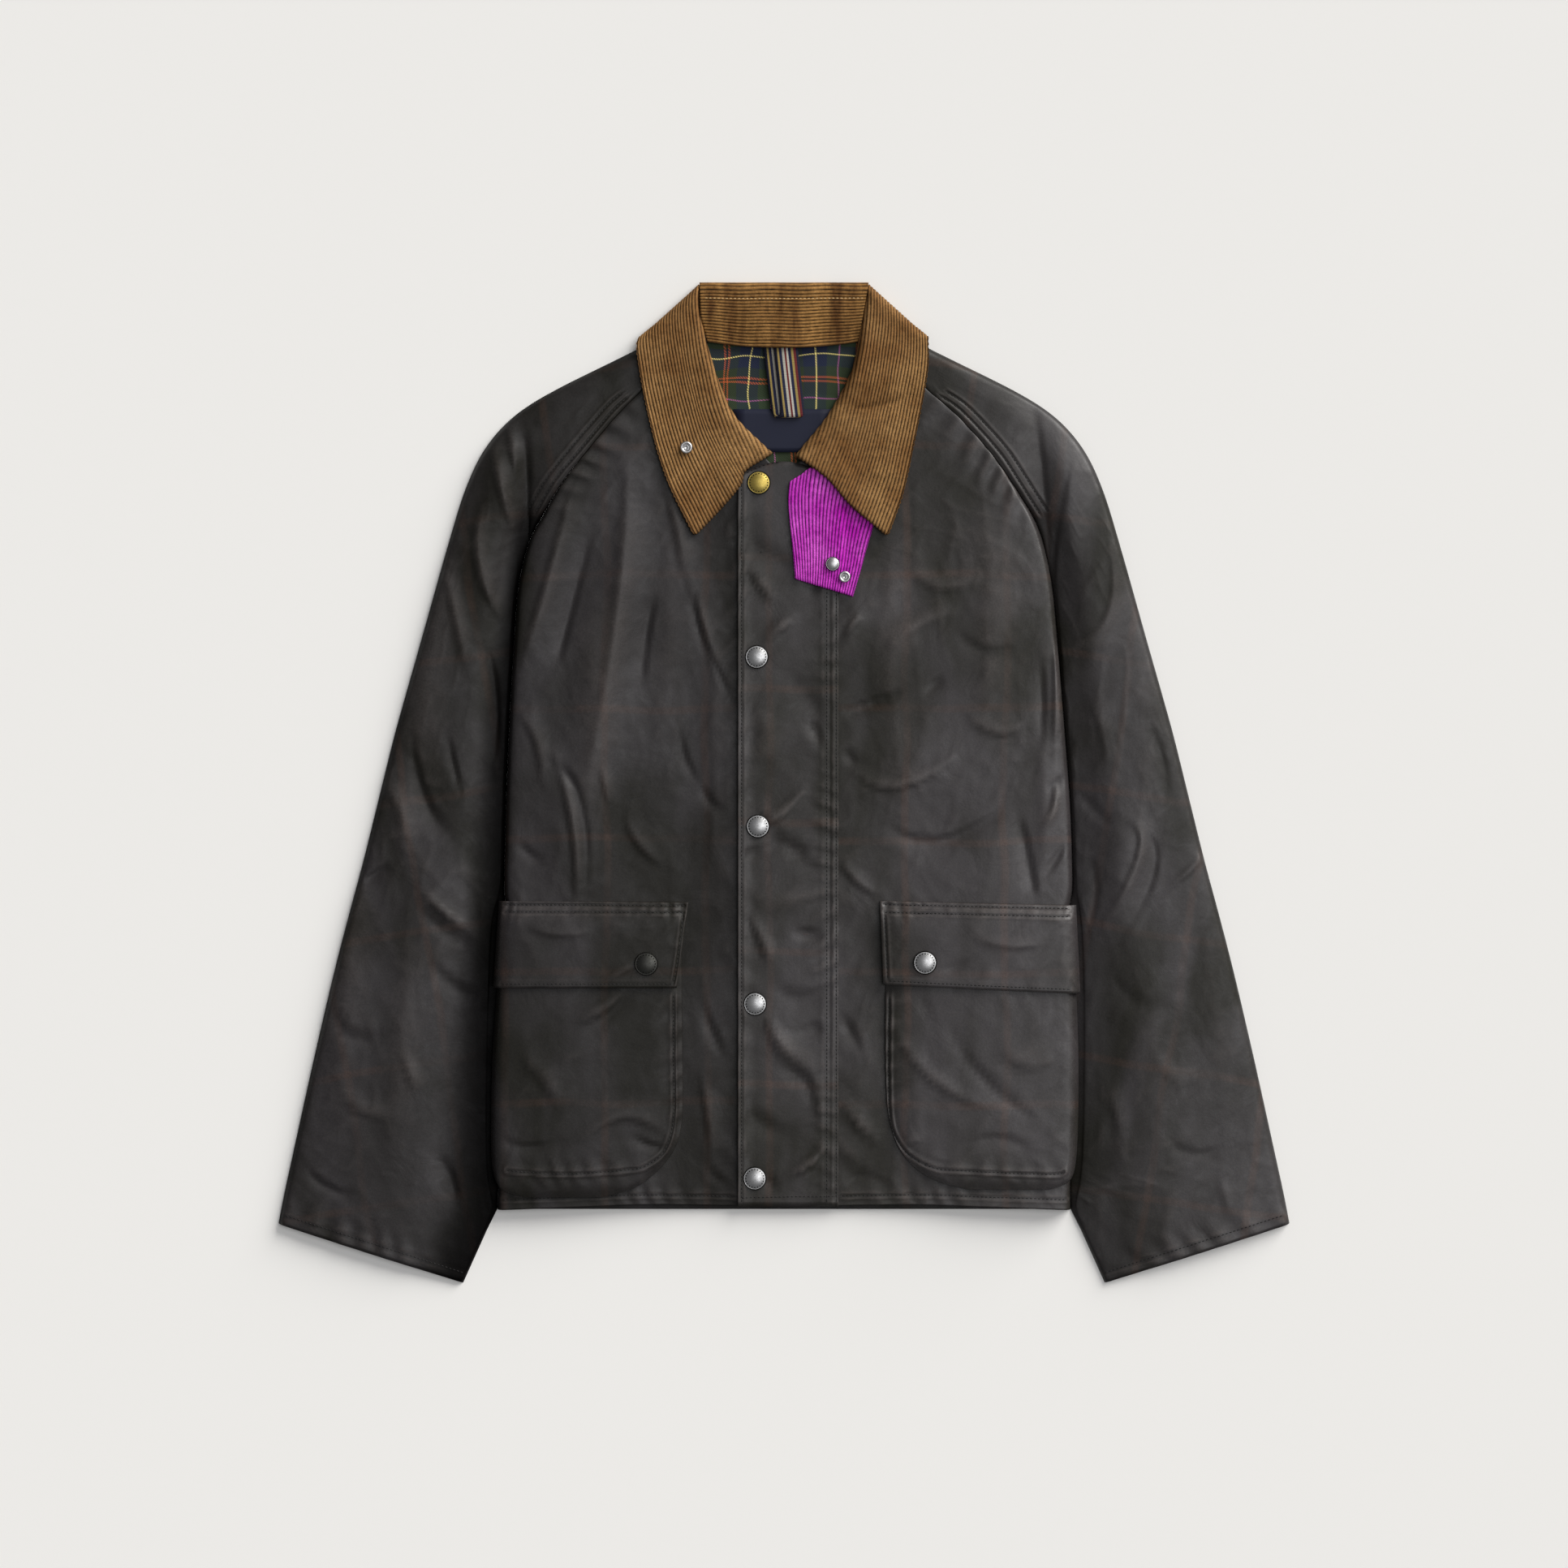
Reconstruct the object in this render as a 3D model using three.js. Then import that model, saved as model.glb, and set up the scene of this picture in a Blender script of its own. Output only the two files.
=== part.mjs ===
// Waxed cotton jacket, zipped up and laid flat on its back.
// Millimetres, +Z up. The underside is at zero, the collar points to +Y and the wearer's left is on +X.
// Right and left are the wearer's. Distances called "out" are measured from the middle of the jacket.
import * as THREE from "three";

// Driving dimensions
const CLOTH = 1.6; // waxed cotton with its backing
const CORDUROY = 3; // collar, two layers of corduroy with a stay between them
const TAB_THICKNESS = 2.4;
const LINING = 1.2;
const LABEL = 1;
const WEBBING = 1.2;
const GAP = 0.4; // between pieces that touch
const SEAM_GAP = 0.35; // between a front and its sleeve, measured across
const UNDER_INSET = 3; // how far an under layer stays inside a rolled edge
const HEM_Y = -336;
const BODY_TOP_AT_FRONT = 6.4; // height of the fronts along the zip
const BODY_TOP_AT_SIDE = 13.4; // height of the fronts near the side of the body
const BODY_ROLL = 6; // how far the side of the body turns down
const SEAM_ROLL = 4;
const SEAM_DIP = 0.8; // groove along a raglan seam
const SLEEVE_TOP = 9.6;
const SLEEVE_VALLEY = 4.2; // sleeve pressed down beside the body
const SLEEVE_VALLEY_SIDE = [0.1, 0.4]; // the slope up from it, in shares of the sleeve's width
const SLEEVE_OUTER_TOP = 8;
const SLEEVE_OUTER_SIDE = [0.6, 1];
const SLEEVE_OUTER_ROLL = 7;
const LOWEST_CLOTH = 4.1; // an upper layer never sinks below this
const UNDERARM_Y = 195;
const RAGLAN_Y = 250; // above this the seam lies on top

const FRONT_COLUMNS = 11;
const SLEEVE_COLUMNS = 6;
const ROLL_TURNS = [30, 60, 90]; // degrees round a rolled edge

// Rows shared by the fronts and the sleeves, so that their seams follow each other.
const STATIONS = [
  340, 326, 310, 294, 277, 259, 241, 224, 209, 195, 178, 155, 128, 100, 72, 44,
  16, -12, -40, -66, -88, -104, -140, -178, -216, -262, -308, -326, HEM_Y,
];
const CUFF_STATIONS = [-352, -373, -394];

// Raglan seam from the neck to the underarm, then the side of the body down to the hem.
// Down the pockets the side is drawn in, because the pockets wrap round it.
const BODY_EDGE = [
  { y: 345, right: 79, left: 79 },
  { y: 306, right: 116, left: 117 },
  { y: 292, right: 131, left: 136 },
  { y: 260, right: 157, left: 164 },
  { y: 237, right: 176, left: 180 },
  { y: 209, right: 192, left: 198 },
  { y: 193, right: 202, left: 205 },
  { y: 157, right: 210.5, left: 212.5 },
  { y: 54, right: 217, left: 221 },
  { y: -22, right: 220, left: 227 },
  { y: -88, right: 221.5, left: 228.5 },
  { y: -104, right: 218, left: 223 },
  { y: -160, right: 221, left: 225 },
  { y: -220, right: 225, left: 227 },
  { y: -308, right: 225, left: 226 },
  { y: HEM_Y, right: 226.6, left: 226.6 },
];

// Inner edge of a sleeve below the pocket's top, and on from the hem to the cuff.
const SLEEVE_INNER = [
  { y: -88, right: 222.1, left: 229.1 },
  { y: -104, right: 229, left: 233 },
  { y: -160, right: 231.6, left: 235.4 },
  { y: -250, right: 233.4, left: 235 },
  { y: -308, right: 233.2, left: 233.6 },
  { y: -326, right: 229.2, left: 229.4 },
  { y: HEM_Y, right: 227.4, left: 227.4 },
  { y: -394, right: 253.5, left: 253.5 },
];

// Outer edge of a sleeve from the neck over the shoulder to the cuff, alike on both sides.
const SLEEVE_OUTER = [
  { y: 368, out: 70 },
  { y: 343, out: 116.5 },
  { y: 311, out: 183 },
  { y: 301, out: 202.5 },
  { y: 288, out: 218.5 },
  { y: 273, out: 232 },
  { y: 257, out: 242 },
  { y: 242, out: 248.5 },
  { y: 222, out: 256 },
  { y: 172, out: 270.5 },
  { y: 120, out: 285 },
  { y: 42, out: 307.2 },
  { y: -63, out: 333 },
  { y: -129, out: 351 },
  { y: -206, out: 369.3 },
  { y: -346, out: 400 },
  { y: -353, out: 397 },
];

// How much higher a row across a sleeve ends on its outer edge.
const SLEEVE_SLANT = [
  { y: 345, rise: 21 },
  { y: UNDERARM_Y, rise: 16 },
  { y: -100, rise: 31 },
  { y: HEM_Y, rise: 44 },
  { y: -394, rise: 47 },
];

// Neck edge of the fronts, hidden by the collar.
const NECKLINE = [
  { y: 345, out: 68 },
  { y: 326, out: 62 },
  { y: 307, out: 55 },
  { y: 292, out: 47 },
  { y: 280, out: 39 },
  { y: 268, out: 25 },
  { y: 260, out: 17 },
  { y: 250, out: 0.5 },
];

// Edge of the hem, slightly scalloped by the pull of the zip.
const HEM_LINE = [
  { out: 0, y: -333.6 },
  { out: 110, y: -331.4 },
  { out: 226, y: -335.8 },
];

// Largest folds of the upper layers: a curve from start through middle to end, how far the fold
// spreads from it, and its height, negative in a trough.
const FOLDS = [
  { on: "right_front", x1: 123, y1: 253, x2: 130, y2: 145, x3: 153, y3: 8, spread: 15, height: 4 },
  { on: "right_front", x1: 153, y1: 191, x2: 168, y2: 146, x3: 176, y3: 100, spread: 12, height: -2.6 },
  { on: "right_front", x1: 169, y1: 225, x2: 187, y2: 157, x3: 205, y3: 100, spread: 12, height: 2.6 },
  { on: "right_front", x1: 102, y1: 145, x2: 108, y2: 122, x3: 112, y3: 82, spread: 11, height: -2.2 },
  { on: "right_front", x1: 76, y1: 168, x2: 62, y2: 112, x3: 50, y3: 70, spread: 12, height: 3.2 },
  { on: "right_front", x1: 70, y1: 152, x2: 62, y2: 104, x3: 42, y3: 40, spread: 9, height: -2.2 },
  { on: "right_front", x1: 180, y1: 20, x2: 168, y2: -50, x3: 164, y3: -86, spread: 12, height: 2.6 },
  { on: "right_front", x1: 206, y1: -46, x2: 196, y2: -54, x3: 188, y3: -62, spread: 11, height: -1.8 },
  { on: "right_front", x1: 62, y1: -168, x2: 60, y2: -230, x3: 64, y3: -290, spread: 13, height: 1.8 },
  { on: "left_front", x1: 62, y1: 158, x2: 56, y2: 142, x3: 48, y3: 122, spread: 12, height: 3 },
  { on: "left_front", x1: 47, y1: 57, x2: 72, y2: 68, x3: 94, y3: 76, spread: 11, height: -2.2 },
  { on: "left_front", x1: 59, y1: 6, x2: 100, y2: 6, x3: 138, y3: 23, spread: 12, height: 2.6 },
  { on: "left_front", x1: 86, y1: -35, x2: 132, y2: -38, x3: 172, y3: -18, spread: 12, height: -2.6 },
  { on: "left_front", x1: 186, y1: -27, x2: 194, y2: -70, x3: 198, y3: -92, spread: 11, height: -2.2 },
  { on: "left_front", x1: 213, y1: 119, x2: 213, y2: 76, x3: 213, y3: 33, spread: 9, height: 2 },
  { on: "left_front", x1: 46, y1: -182, x2: 62, y2: -212, x3: 58, y3: -262, spread: 11, height: 1.8 },
  { on: "right_sleeve", x1: 205, y1: 284, x2: 202, y2: 230, x3: 207, y3: 176, spread: 10, height: -4.5 },
  { on: "right_sleeve", x1: 232, y1: 270, x2: 224, y2: 238, x3: 222, y3: 190, spread: 11, height: 3.4 },
  { on: "right_sleeve", x1: 237, y1: 212, x2: 240, y2: 170, x3: 226, y3: 124, spread: 12, height: 3 },
  { on: "right_sleeve", x1: 293, y1: 36, x2: 276, y2: -20, x3: 264, y3: -40, spread: 12, height: -2.4 },
  { on: "right_sleeve", x1: 290, y1: -80, x2: 262, y2: -104, x3: 244, y3: -118, spread: 12, height: 3 },
  { on: "right_sleeve", x1: 356, y1: -175, x2: 340, y2: -196, x3: 314, y3: -195, spread: 12, height: 2.4 },
  { on: "left_sleeve", x1: 198, y1: 300, x2: 204, y2: 250, x3: 212, y3: 168, spread: 10, height: -4 },
  { on: "left_sleeve", x1: 226, y1: 276, x2: 216, y2: 226, x3: 226, y3: 186, spread: 10, height: 3.2 },
  { on: "left_sleeve", x1: 256, y1: 196, x2: 250, y2: 140, x3: 222, y3: 98, spread: 12, height: 3 },
  { on: "left_sleeve", x1: 268, y1: -28, x2: 278, y2: -62, x3: 250, y3: -118, spread: 13, height: 4 },
  { on: "left_sleeve", x1: 290, y1: -30, x2: 296, y2: -66, x3: 262, y3: -126, spread: 10, height: -2.2 },
  { on: "left_sleeve", x1: 342, y1: -308, x2: 348, y2: -322, x3: 352, y3: -338, spread: 11, height: 2 },
];

// Folds fade out towards what lies on the cloth: the storm flap, the pockets and the collar.
const CLEAR_OF_FLAP = [43, 52];
const CLEAR_OF_POCKET = { out: [70, 78], y: [-92, -84] };
const CLEAR_OF_COLLAR = { throatY: 262, pointY: 188, pointOut: 84, below: [-8, 6], beyond: [110, 122] };

// Storm flap over the zip
const STORM_FLAP = { right: -36.5, left: 43, peakY: 258, peakFall: 0.011, bottomY: -333.4 };
const STORM_FLAP_ACROSS = [0, 0.07, 0.46, 0.86, 1];
const STORM_FLAP_ROWS = 17;

// Bellows pockets: inner and outer side of the bag at each height, from the mouth to the bottom.
const POCKETS = {
  right: [
    { y: -104, inner: 81, outer: 222.5 },
    { y: -160, inner: 80.5, outer: 226.5 },
    { y: -215, inner: 80, outer: 231 },
    { y: -270, inner: 79.5, outer: 231.6 },
    { y: -290, inner: 86, outer: 231.6 },
    { y: -304, inner: 98, outer: 230.5 },
    { y: -316, inner: 112, outer: 226.5 },
    { y: -322, inner: 126, outer: 219 },
    { y: -325.5, inner: 144, outer: 204 },
  ],
  left: [
    { y: -104, inner: 80.5, outer: 227 },
    { y: -160, inner: 80, outer: 230.8 },
    { y: -215, inner: 79.5, outer: 233 },
    { y: -262, inner: 81.5, outer: 232.4 },
    { y: -284, inner: 88, outer: 231.8 },
    { y: -300, inner: 99, outer: 230.5 },
    { y: -311, inner: 115, outer: 227.5 },
    { y: -316, inner: 128, outer: 221 },
    { y: -319.5, inner: 146, outer: 208 },
  ],
};
const POCKET_ACROSS = [0, 0.025, 0.065, 0.28, 0.5, 0.72, 0.92, 0.965, 0.99, 1];
const POCKET_DEPTH = 3.2; // how far the bag stands off the front
const POCKET_SHOULDER = 9; // width of the slope round the bag
const POCKET_SIDE_ROLL = 12;
const POCKET_SIDE_LOW = 5;
const POCKET_ROWS = [-112, -136, -166, -200, -236]; // between the mouth and the rounded bottom

// Pocket flaps: the four corners, top and bottom.
const POCKET_FLAPS = {
  right: { topInner: 75.5, bottomInner: 84.5, topOuter: 225, bottomOuter: 229.6, innerTopY: -93.2,
    outerTopY: -92.2, innerBottomY: -160.6, outerBottomY: -160.4 },
  left: { topInner: 75.5, bottomInner: 78, topOuter: 230.5, bottomOuter: 233.8, innerTopY: -92.2,
    outerTopY: -95.4, innerBottomY: -158, outerBottomY: -165 },
};
const POCKET_FLAP_DOWN = [0, 0.09, 0.2, 0.32, 0.5, 0.75, 1];
const POCKET_FLAP_LOW = 8.2;
const POCKET_FLAP_SPREAD = 1; // slack between the flap and the bag

// Collar leaves: fold line from the top of the neck to the throat, outer edge from the shoulder
// to the point, and lower edge from the throat to the point.
const COLLAR_LEAVES = {
  right: {
    fold: [[67, 394.5], [66, 369], [55, 327], [40, 292], [17, 268], [9, 261]],
    outer: [[114, 352], [116.5, 340], [107.5, 290], [93.5, 241], [71, 194]],
    lower: [[9, 261], [15, 256.5], [30, 246.5], [34, 235], [50, 216], [71, 194]],
  },
  left: {
    fold: [[67, 394.5], [61, 360], [54, 327], [35.5, 292], [14, 265], [9, 258]],
    outer: [[114, 352], [113.5, 323], [102.5, 265], [94, 227], [82, 194]],
    lower: [[9, 258], [24, 248], [36, 238], [52, 219.5], [75, 200], [82, 194]],
  },
};
const LEAF_WALES = 17;
const LEAF_DOWN = [0, 0.014, 0.034, 0.062, 0.2, 0.36, 0.52, 0.68, 0.82, 0.92, 1];
const LEAF_FOLD_RADIUS = 6.5;
const LEAF_TOP_RADIUS = 8;
const LEAF_LEVEL = 12; // least height of a leaf where nothing lies under it
const LEAF_LOFT = 4.2; // how much the leaf stands up along its fold
const LEAF_EASE = 1.8; // slack under the fold of a leaf
const LEAF_POINT = [0.6, 0.8]; // where the leaf starts to narrow to its point, from the top down
const LEAF_REACH = [4, 13]; // how far round a spot the leaf is held up, above and at the point
const LEAF_SETTLE = [0.78, 1];
const LEAF_EDGE_REACH = 5;
const LEAF_LENGTH = 150;
const WALE_HEIGHT = 0.7;

// Collar stand behind the neck, rolled over its top edge down to the table.
const STAND = {
  topY: 395.4, lowerY: 344, lowerRise: 5, level: 9.6, underEndY: 351.6,
  besideFold: 1.2, foldTopY: 393, supportOut: 40,
};
const STAND_WALES = 14;
const STAND_ROLL = 7.5;
const STAND_ROLL_STEPS = 7;
const STAND_ACROSS = [-1, -0.6, -0.2, 0.2, 0.6, 1];

// Throat tab under the left leaf
const THROAT_TAB = {
  left: [[4, 238], [3.2, 219], [7, 178.6], [8.5, 161.5]],
  right: [[73, 210], [65.3, 184.6], [60.8, 168.3], [54.5, 147.5]],
  top: [[4, 238], [13, 243.5], [24, 249], [46, 235], [73, 210]],
};
const TAB_WALES = 18;
const TAB_DOWN = [0, 0.25, 0.5, 0.75, 0.95, 1];

// Lining, label and hanger loop inside the neck
const LINING_ROWS = [349, 334, 318, 302, 287, 273, 260, 244];
const LINING_HALF_WIDTH = [14, 66]; // least and most
const LINING_UNDER_FRONT = 5;
const LABEL_BOX = { fromX: -40, toX: 38, fromY: 262, toY: 296 };
const HANGER = { width: 19, topX: -3, topY: 342, lowX: 3.5, lowY: 289, skew: 4, layerGap: 1.7 };

// Snap fasteners: middle and radius of each cap.
const FLAP_STUDS = [
  { x: -21.4, y: 100.2 },
  { x: -20.5, y: -33.3 },
  { x: -22.7, y: -173.4 },
  { x: -23, y: -311 },
];
const SNAP_RADIUS = 9.3;
const SNAP_HEIGHT = 3;
const SNAP_SIDES = 12;
const NECK_STUD = { x: -19.8, y: 237.6 };
const POCKET_STUDS = { right: { x: -108.2, y: -141.4 }, left: { x: 111, y: -140.5 } };
const TAB_STUD = { x: 38.4, y: 173.4, radius: 5.6 };
const TAB_SOCKET = { x: 47.8, y: 163.2, radius: 4.6 };
const COLLAR_STUD = { x: -76.9, y: 265, radius: 4.9 };

// Colours
const WAXED_COTTON = { color: 0x3a3736, roughness: 0.55, metalness: 0 };
const BROWN_CORDUROY = { color: 0x8b6339, roughness: 0.9, metalness: 0 };
const PURPLE_CORDUROY = { color: 0xb030ae, roughness: 0.9, metalness: 0 };
const CHECKED_COTTON = { color: 0x2f3a35, roughness: 0.85, metalness: 0 };
const NAVY_SATIN = { color: 0x1d2238, roughness: 0.6, metalness: 0 };
const STRIPED_WEBBING = { color: 0x7a4a52, roughness: 0.8, metalness: 0 };
const GUNMETAL = { color: 0x55565a, roughness: 0.35, metalness: 0.9 };
const BRASS = { color: 0xb5893f, roughness: 0.35, metalness: 0.9 };

const SIGN = { right: -1, left: 1 };
const group = new THREE.Group();

function mix(from, to, share) {
  return from + (to - from) * share;
}

function ease(from, to, value) {
  return THREE.MathUtils.smoothstep(value, from, to);
}

// Value of one column of a table at a place between its rows.
function readTable(table, key, place, column) {
  const upward = table[1][key] > table[0][key];
  let row = 0;
  while (row < table.length - 2 && (upward ? place > table[row + 1][key] : place < table[row + 1][key])) {
    row += 1;
  }
  const before = table[row];
  const after = table[row + 1];
  const share = THREE.MathUtils.clamp((place - before[key]) / (after[key] - before[key]), 0, 1);
  return mix(before[column], after[column], share);
}

// Closed body between two grids of points with the same rows and columns.
function closeWall(outer, inner) {
  const rows = outer.length;
  const columns = outer[0].length;
  const points = [...outer.flat(), ...inner.flat()];
  const top = (row, column) => row * columns + column;
  const under = (row, column) => rows * columns + top(row, column);
  const faces = [];
  const quad = (a, b, c, d) => faces.push([a, b, c], [a, c, d]);
  for (let row = 0; row < rows - 1; row += 1) {
    for (let column = 0; column < columns - 1; column += 1) {
      quad(top(row, column), top(row + 1, column), top(row + 1, column + 1), top(row, column + 1));
      quad(under(row, column), under(row, column + 1), under(row + 1, column + 1), under(row + 1, column));
    }
    const last = columns - 1;
    quad(top(row, 0), under(row, 0), under(row + 1, 0), top(row + 1, 0));
    quad(top(row, last), top(row + 1, last), under(row + 1, last), under(row, last));
  }
  for (let column = 0; column < columns - 1; column += 1) {
    const last = rows - 1;
    quad(top(0, column), top(0, column + 1), under(0, column + 1), under(0, column));
    quad(top(last, column), under(last, column), under(last, column + 1), top(last, column + 1));
  }
  let volume = 0;
  for (const [a, b, c] of faces) {
    volume += points[a].dot(points[b].clone().cross(points[c]));
  }
  const outward = volume > 0 ? faces : faces.map(([a, b, c]) => [a, c, b]);
  const geometry = new THREE.BufferGeometry().setFromPoints(points);
  geometry.setIndex(outward.flat());
  geometry.computeVertexNormals();
  return geometry;
}

// Direction that each point of a grid faces, away from the cloth's inside.
function gridNormals(grid) {
  const last = grid.length - 1;
  return grid.map((row, r) => row.map((_, c) => {
    const end = row.length - 1;
    const down = grid[Math.min(r + 1, last)][c].clone().sub(grid[Math.max(r - 1, 0)][c]);
    const across = row[Math.min(c + 1, end)].clone().sub(row[Math.max(c - 1, 0)]);
    return across.cross(down).normalize();
  }));
}

function addPiece(name, geometry, look) {
  const mesh = new THREE.Mesh(geometry, new THREE.MeshStandardMaterial(look));
  mesh.name = name;
  group.add(mesh);
  return mesh;
}

// Cloth wall whose outside passes through a grid; relief raises its outer points alone.
// Nothing reaches below the table.
function addWall(name, grid, thickness, look, relief = () => 0) {
  const normals = gridNormals(grid);
  const middle = normals[Math.floor(normals.length / 2)];
  const turn = middle[Math.floor(middle.length / 2)].z < 0 ? -1 : 1;
  const moved = (distance) => grid.map((row, r) => row.map((point, c) => {
    const spot = point.clone().addScaledVector(normals[r][c], turn * distance(r, c));
    return spot.setZ(Math.max(spot.z, 0));
  }));
  return addPiece(name, closeWall(moved(relief), moved(() => -thickness)), look);
}

// Flat piece between two heights.
function addSheet(name, grid, bottom, thickness, look) {
  const at = (height) => grid.map((row) => row.map(([x, y]) => new THREE.Vector3(x, y, height)));
  return addPiece(name, closeWall(at(bottom + thickness), at(bottom)), look);
}

// Height of the topmost face of a piece over a point of the table, zero where there is none.
function heightAt(piece, x, y) {
  const { position } = piece.geometry.attributes;
  const index = piece.geometry.index.array;
  let height = 0;
  for (let i = 0; i < index.length; i += 3) {
    const [a, b, c] = [index[i], index[i + 1], index[i + 2]];
    const [ax, ay] = [position.getX(a), position.getY(a)];
    const [bx, by] = [position.getX(b), position.getY(b)];
    const [cx, cy] = [position.getX(c), position.getY(c)];
    const area = (bx - ax) * (cy - ay) - (cx - ax) * (by - ay);
    if (area > 1e-6) {
      const shareB = ((x - ax) * (cy - ay) - (cx - ax) * (y - ay)) / area;
      const shareC = ((bx - ax) * (y - ay) - (x - ax) * (by - ay)) / area;
      if (shareB >= 0 && shareC >= 0 && shareB + shareC <= 1) {
        const shareA = 1 - shareB - shareC;
        const z = shareA * position.getZ(a) + shareB * position.getZ(b) + shareC * position.getZ(c);
        height = Math.max(height, z);
      }
    }
  }
  return height;
}

// Height that clears every one of these pieces within a short reach of a point.
function clearHeight(pieces, x, y, reach) {
  let height = 0;
  for (const piece of pieces) {
    for (const [stepX, stepY] of [[0, 0], [1, 0], [-1, 0], [0, 1], [0, -1], [0.7, 0.7], [-0.7, 0.7],
      [0.7, -0.7], [-0.7, -0.7]]) {
      height = Math.max(height, heightAt(piece, x + stepX * reach, y + stepY * reach));
    }
  }
  return height + GAP;
}

// Height that the folds of a panel add at a point, their ends fading out.
function foldHeight(panel, out, y) {
  let height = 0;
  for (const fold of FOLDS.filter((row) => row.on === panel)) {
    const curve = new THREE.QuadraticBezierCurve(
      new THREE.Vector2(fold.x1, fold.y1),
      new THREE.Vector2(fold.x2, fold.y2),
      new THREE.Vector2(fold.x3, fold.y3),
    );
    const steps = 12;
    let nearest = Infinity;
    let share = 0;
    for (let i = 0; i <= steps; i += 1) {
      const distance = curve.getPoint(i / steps).distanceTo(new THREE.Vector2(out, y));
      if (distance < nearest) {
        nearest = distance;
        share = i / steps;
      }
    }
    const fade = 0.35 + 0.65 * Math.sin(Math.PI * share);
    height += fold.height * fade * Math.exp(-((nearest / fold.spread) ** 2));
  }
  return height;
}

// Smooth height of the body's upper layer, without its folds.
function bodyLoft(out) {
  return mix(BODY_TOP_AT_FRONT, BODY_TOP_AT_SIDE, ease(50, 190, out));
}

// How far the seam lies on top: one along the raglan, zero below the underarm.
function raglanShare(y) {
  return ease(UNDERARM_Y, RAGLAN_Y, y);
}

// Height of the edge that a front and its sleeve share.
function seamEdgeHeight(side, y) {
  const loft = bodyLoft(readTable(BODY_EDGE, "y", y, side));
  return (loft - SEAM_DIP) * raglanShare(y);
}

// Folds fade out under the storm flap, the pockets and the collar, which lie on smooth cloth.
function freeCloth(out, y) {
  const besideFlap = ease(...CLEAR_OF_FLAP, out);
  const abovePocket = 1 - ease(...CLEAR_OF_POCKET.out, out) * (1 - ease(...CLEAR_OF_POCKET.y, y));
  const { throatY, pointY, pointOut, below, beyond } = CLEAR_OF_COLLAR;
  const collarY = mix(throatY, pointY, Math.min(out / pointOut, 1));
  const belowCollar = 1 - ease(...below, y - collarY) * (1 - ease(...beyond, out));
  return besideFlap * abovePocket * belowCollar;
}

function frontGrid(side) {
  return STATIONS.map((station) => {
    const edge = readTable(BODY_EDGE, "y", station, side);
    const roll = mix(BODY_ROLL, SEAM_ROLL, raglanShare(station));
    const start = readTable(NECKLINE, "y", station, "out");
    const atHem = station === HEM_Y;
    const row = [];
    const place = (out, z) => {
      const y = atHem ? readTable(HEM_LINE, "out", out, "y") : station;
      row.push(new THREE.Vector3(SIGN[side] * out, y, z));
    };
    const top = (out) => {
      const folds = foldHeight(`${side}_front`, out, station) * freeCloth(out, station);
      return Math.max(bodyLoft(out) + folds, LOWEST_CLOTH + 1);
    };
    const flatEnd = edge - roll;
    for (let i = 0; i <= FRONT_COLUMNS; i += 1) {
      const out = mix(start, flatEnd, i / FRONT_COLUMNS);
      place(out, top(out));
    }
    const low = seamEdgeHeight(side, station);
    for (const turn of ROLL_TURNS) {
      const angle = THREE.MathUtils.degToRad(turn);
      place(flatEnd + roll * Math.sin(angle), mix(low, top(flatEnd), Math.cos(angle)));
    }
    return row;
  });
}

// Inner edge of a sleeve, beside the front and then free below the hem.
function sleeveInner(side, y) {
  const besideBody = y > -88;
  return besideBody
    ? readTable(BODY_EDGE, "y", y, side) + SEAM_GAP
    : readTable(SLEEVE_INNER, "y", y, side);
}

function sleeveRows(side) {
  return [...STATIONS, ...CUFF_STATIONS].map((innerY) => {
    const outerY = innerY + readTable(SLEEVE_SLANT, "y", innerY, "rise");
    const from = new THREE.Vector2(sleeveInner(side, innerY), innerY);
    const to = new THREE.Vector2(readTable(SLEEVE_OUTER, "y", outerY, "out"), outerY);
    return { from, to, length: from.distanceTo(to), innerY };
  });
}

function sleeveGrid(side) {
  return sleeveRows(side).map(({ from, to, length, innerY }) => {
    const raglan = raglanShare(innerY);
    const seamTop = bodyLoft(from.x);
    const innerTop = mix(SLEEVE_VALLEY, seamTop, raglan);
    const crown = mix(SLEEVE_TOP, seamTop, raglan);
    const low = seamEdgeHeight(side, innerY);
    const row = [];
    const place = (along, z) => {
      const spot = from.clone().lerp(to, along / length);
      row.push(new THREE.Vector3(SIGN[side] * spot.x, spot.y, z));
    };
    const top = (along) => {
      const spot = from.clone().lerp(to, along / length);
      const share = along / length;
      const rising = mix(innerTop, crown, ease(...SLEEVE_VALLEY_SIDE, share));
      const smooth = mix(rising, SLEEVE_OUTER_TOP, ease(...SLEEVE_OUTER_SIDE, share));
      return Math.max(smooth + foldHeight(`${side}_sleeve`, spot.x, spot.y), LOWEST_CLOTH);
    };
    const turns = ROLL_TURNS.map((turn) => THREE.MathUtils.degToRad(turn));
    for (const angle of [...turns].reverse()) {
      place(SEAM_ROLL * (1 - Math.sin(angle)), mix(low, top(SEAM_ROLL), Math.cos(angle)));
    }
    const flatEnd = length - SLEEVE_OUTER_ROLL;
    for (let i = 0; i <= SLEEVE_COLUMNS; i += 1) {
      const along = mix(SEAM_ROLL, flatEnd, i / SLEEVE_COLUMNS);
      place(along, top(along));
    }
    for (const angle of turns) {
      place(flatEnd + SLEEVE_OUTER_ROLL * Math.sin(angle), top(flatEnd) * Math.cos(angle));
    }
    return row;
  });
}

// Under layers keep clear of the rolled edges that come down to the table.
function underInset(y) {
  return mix(UNDER_INSET, SEAM_GAP / 2, ease(235, RAGLAN_Y, y));
}

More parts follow.
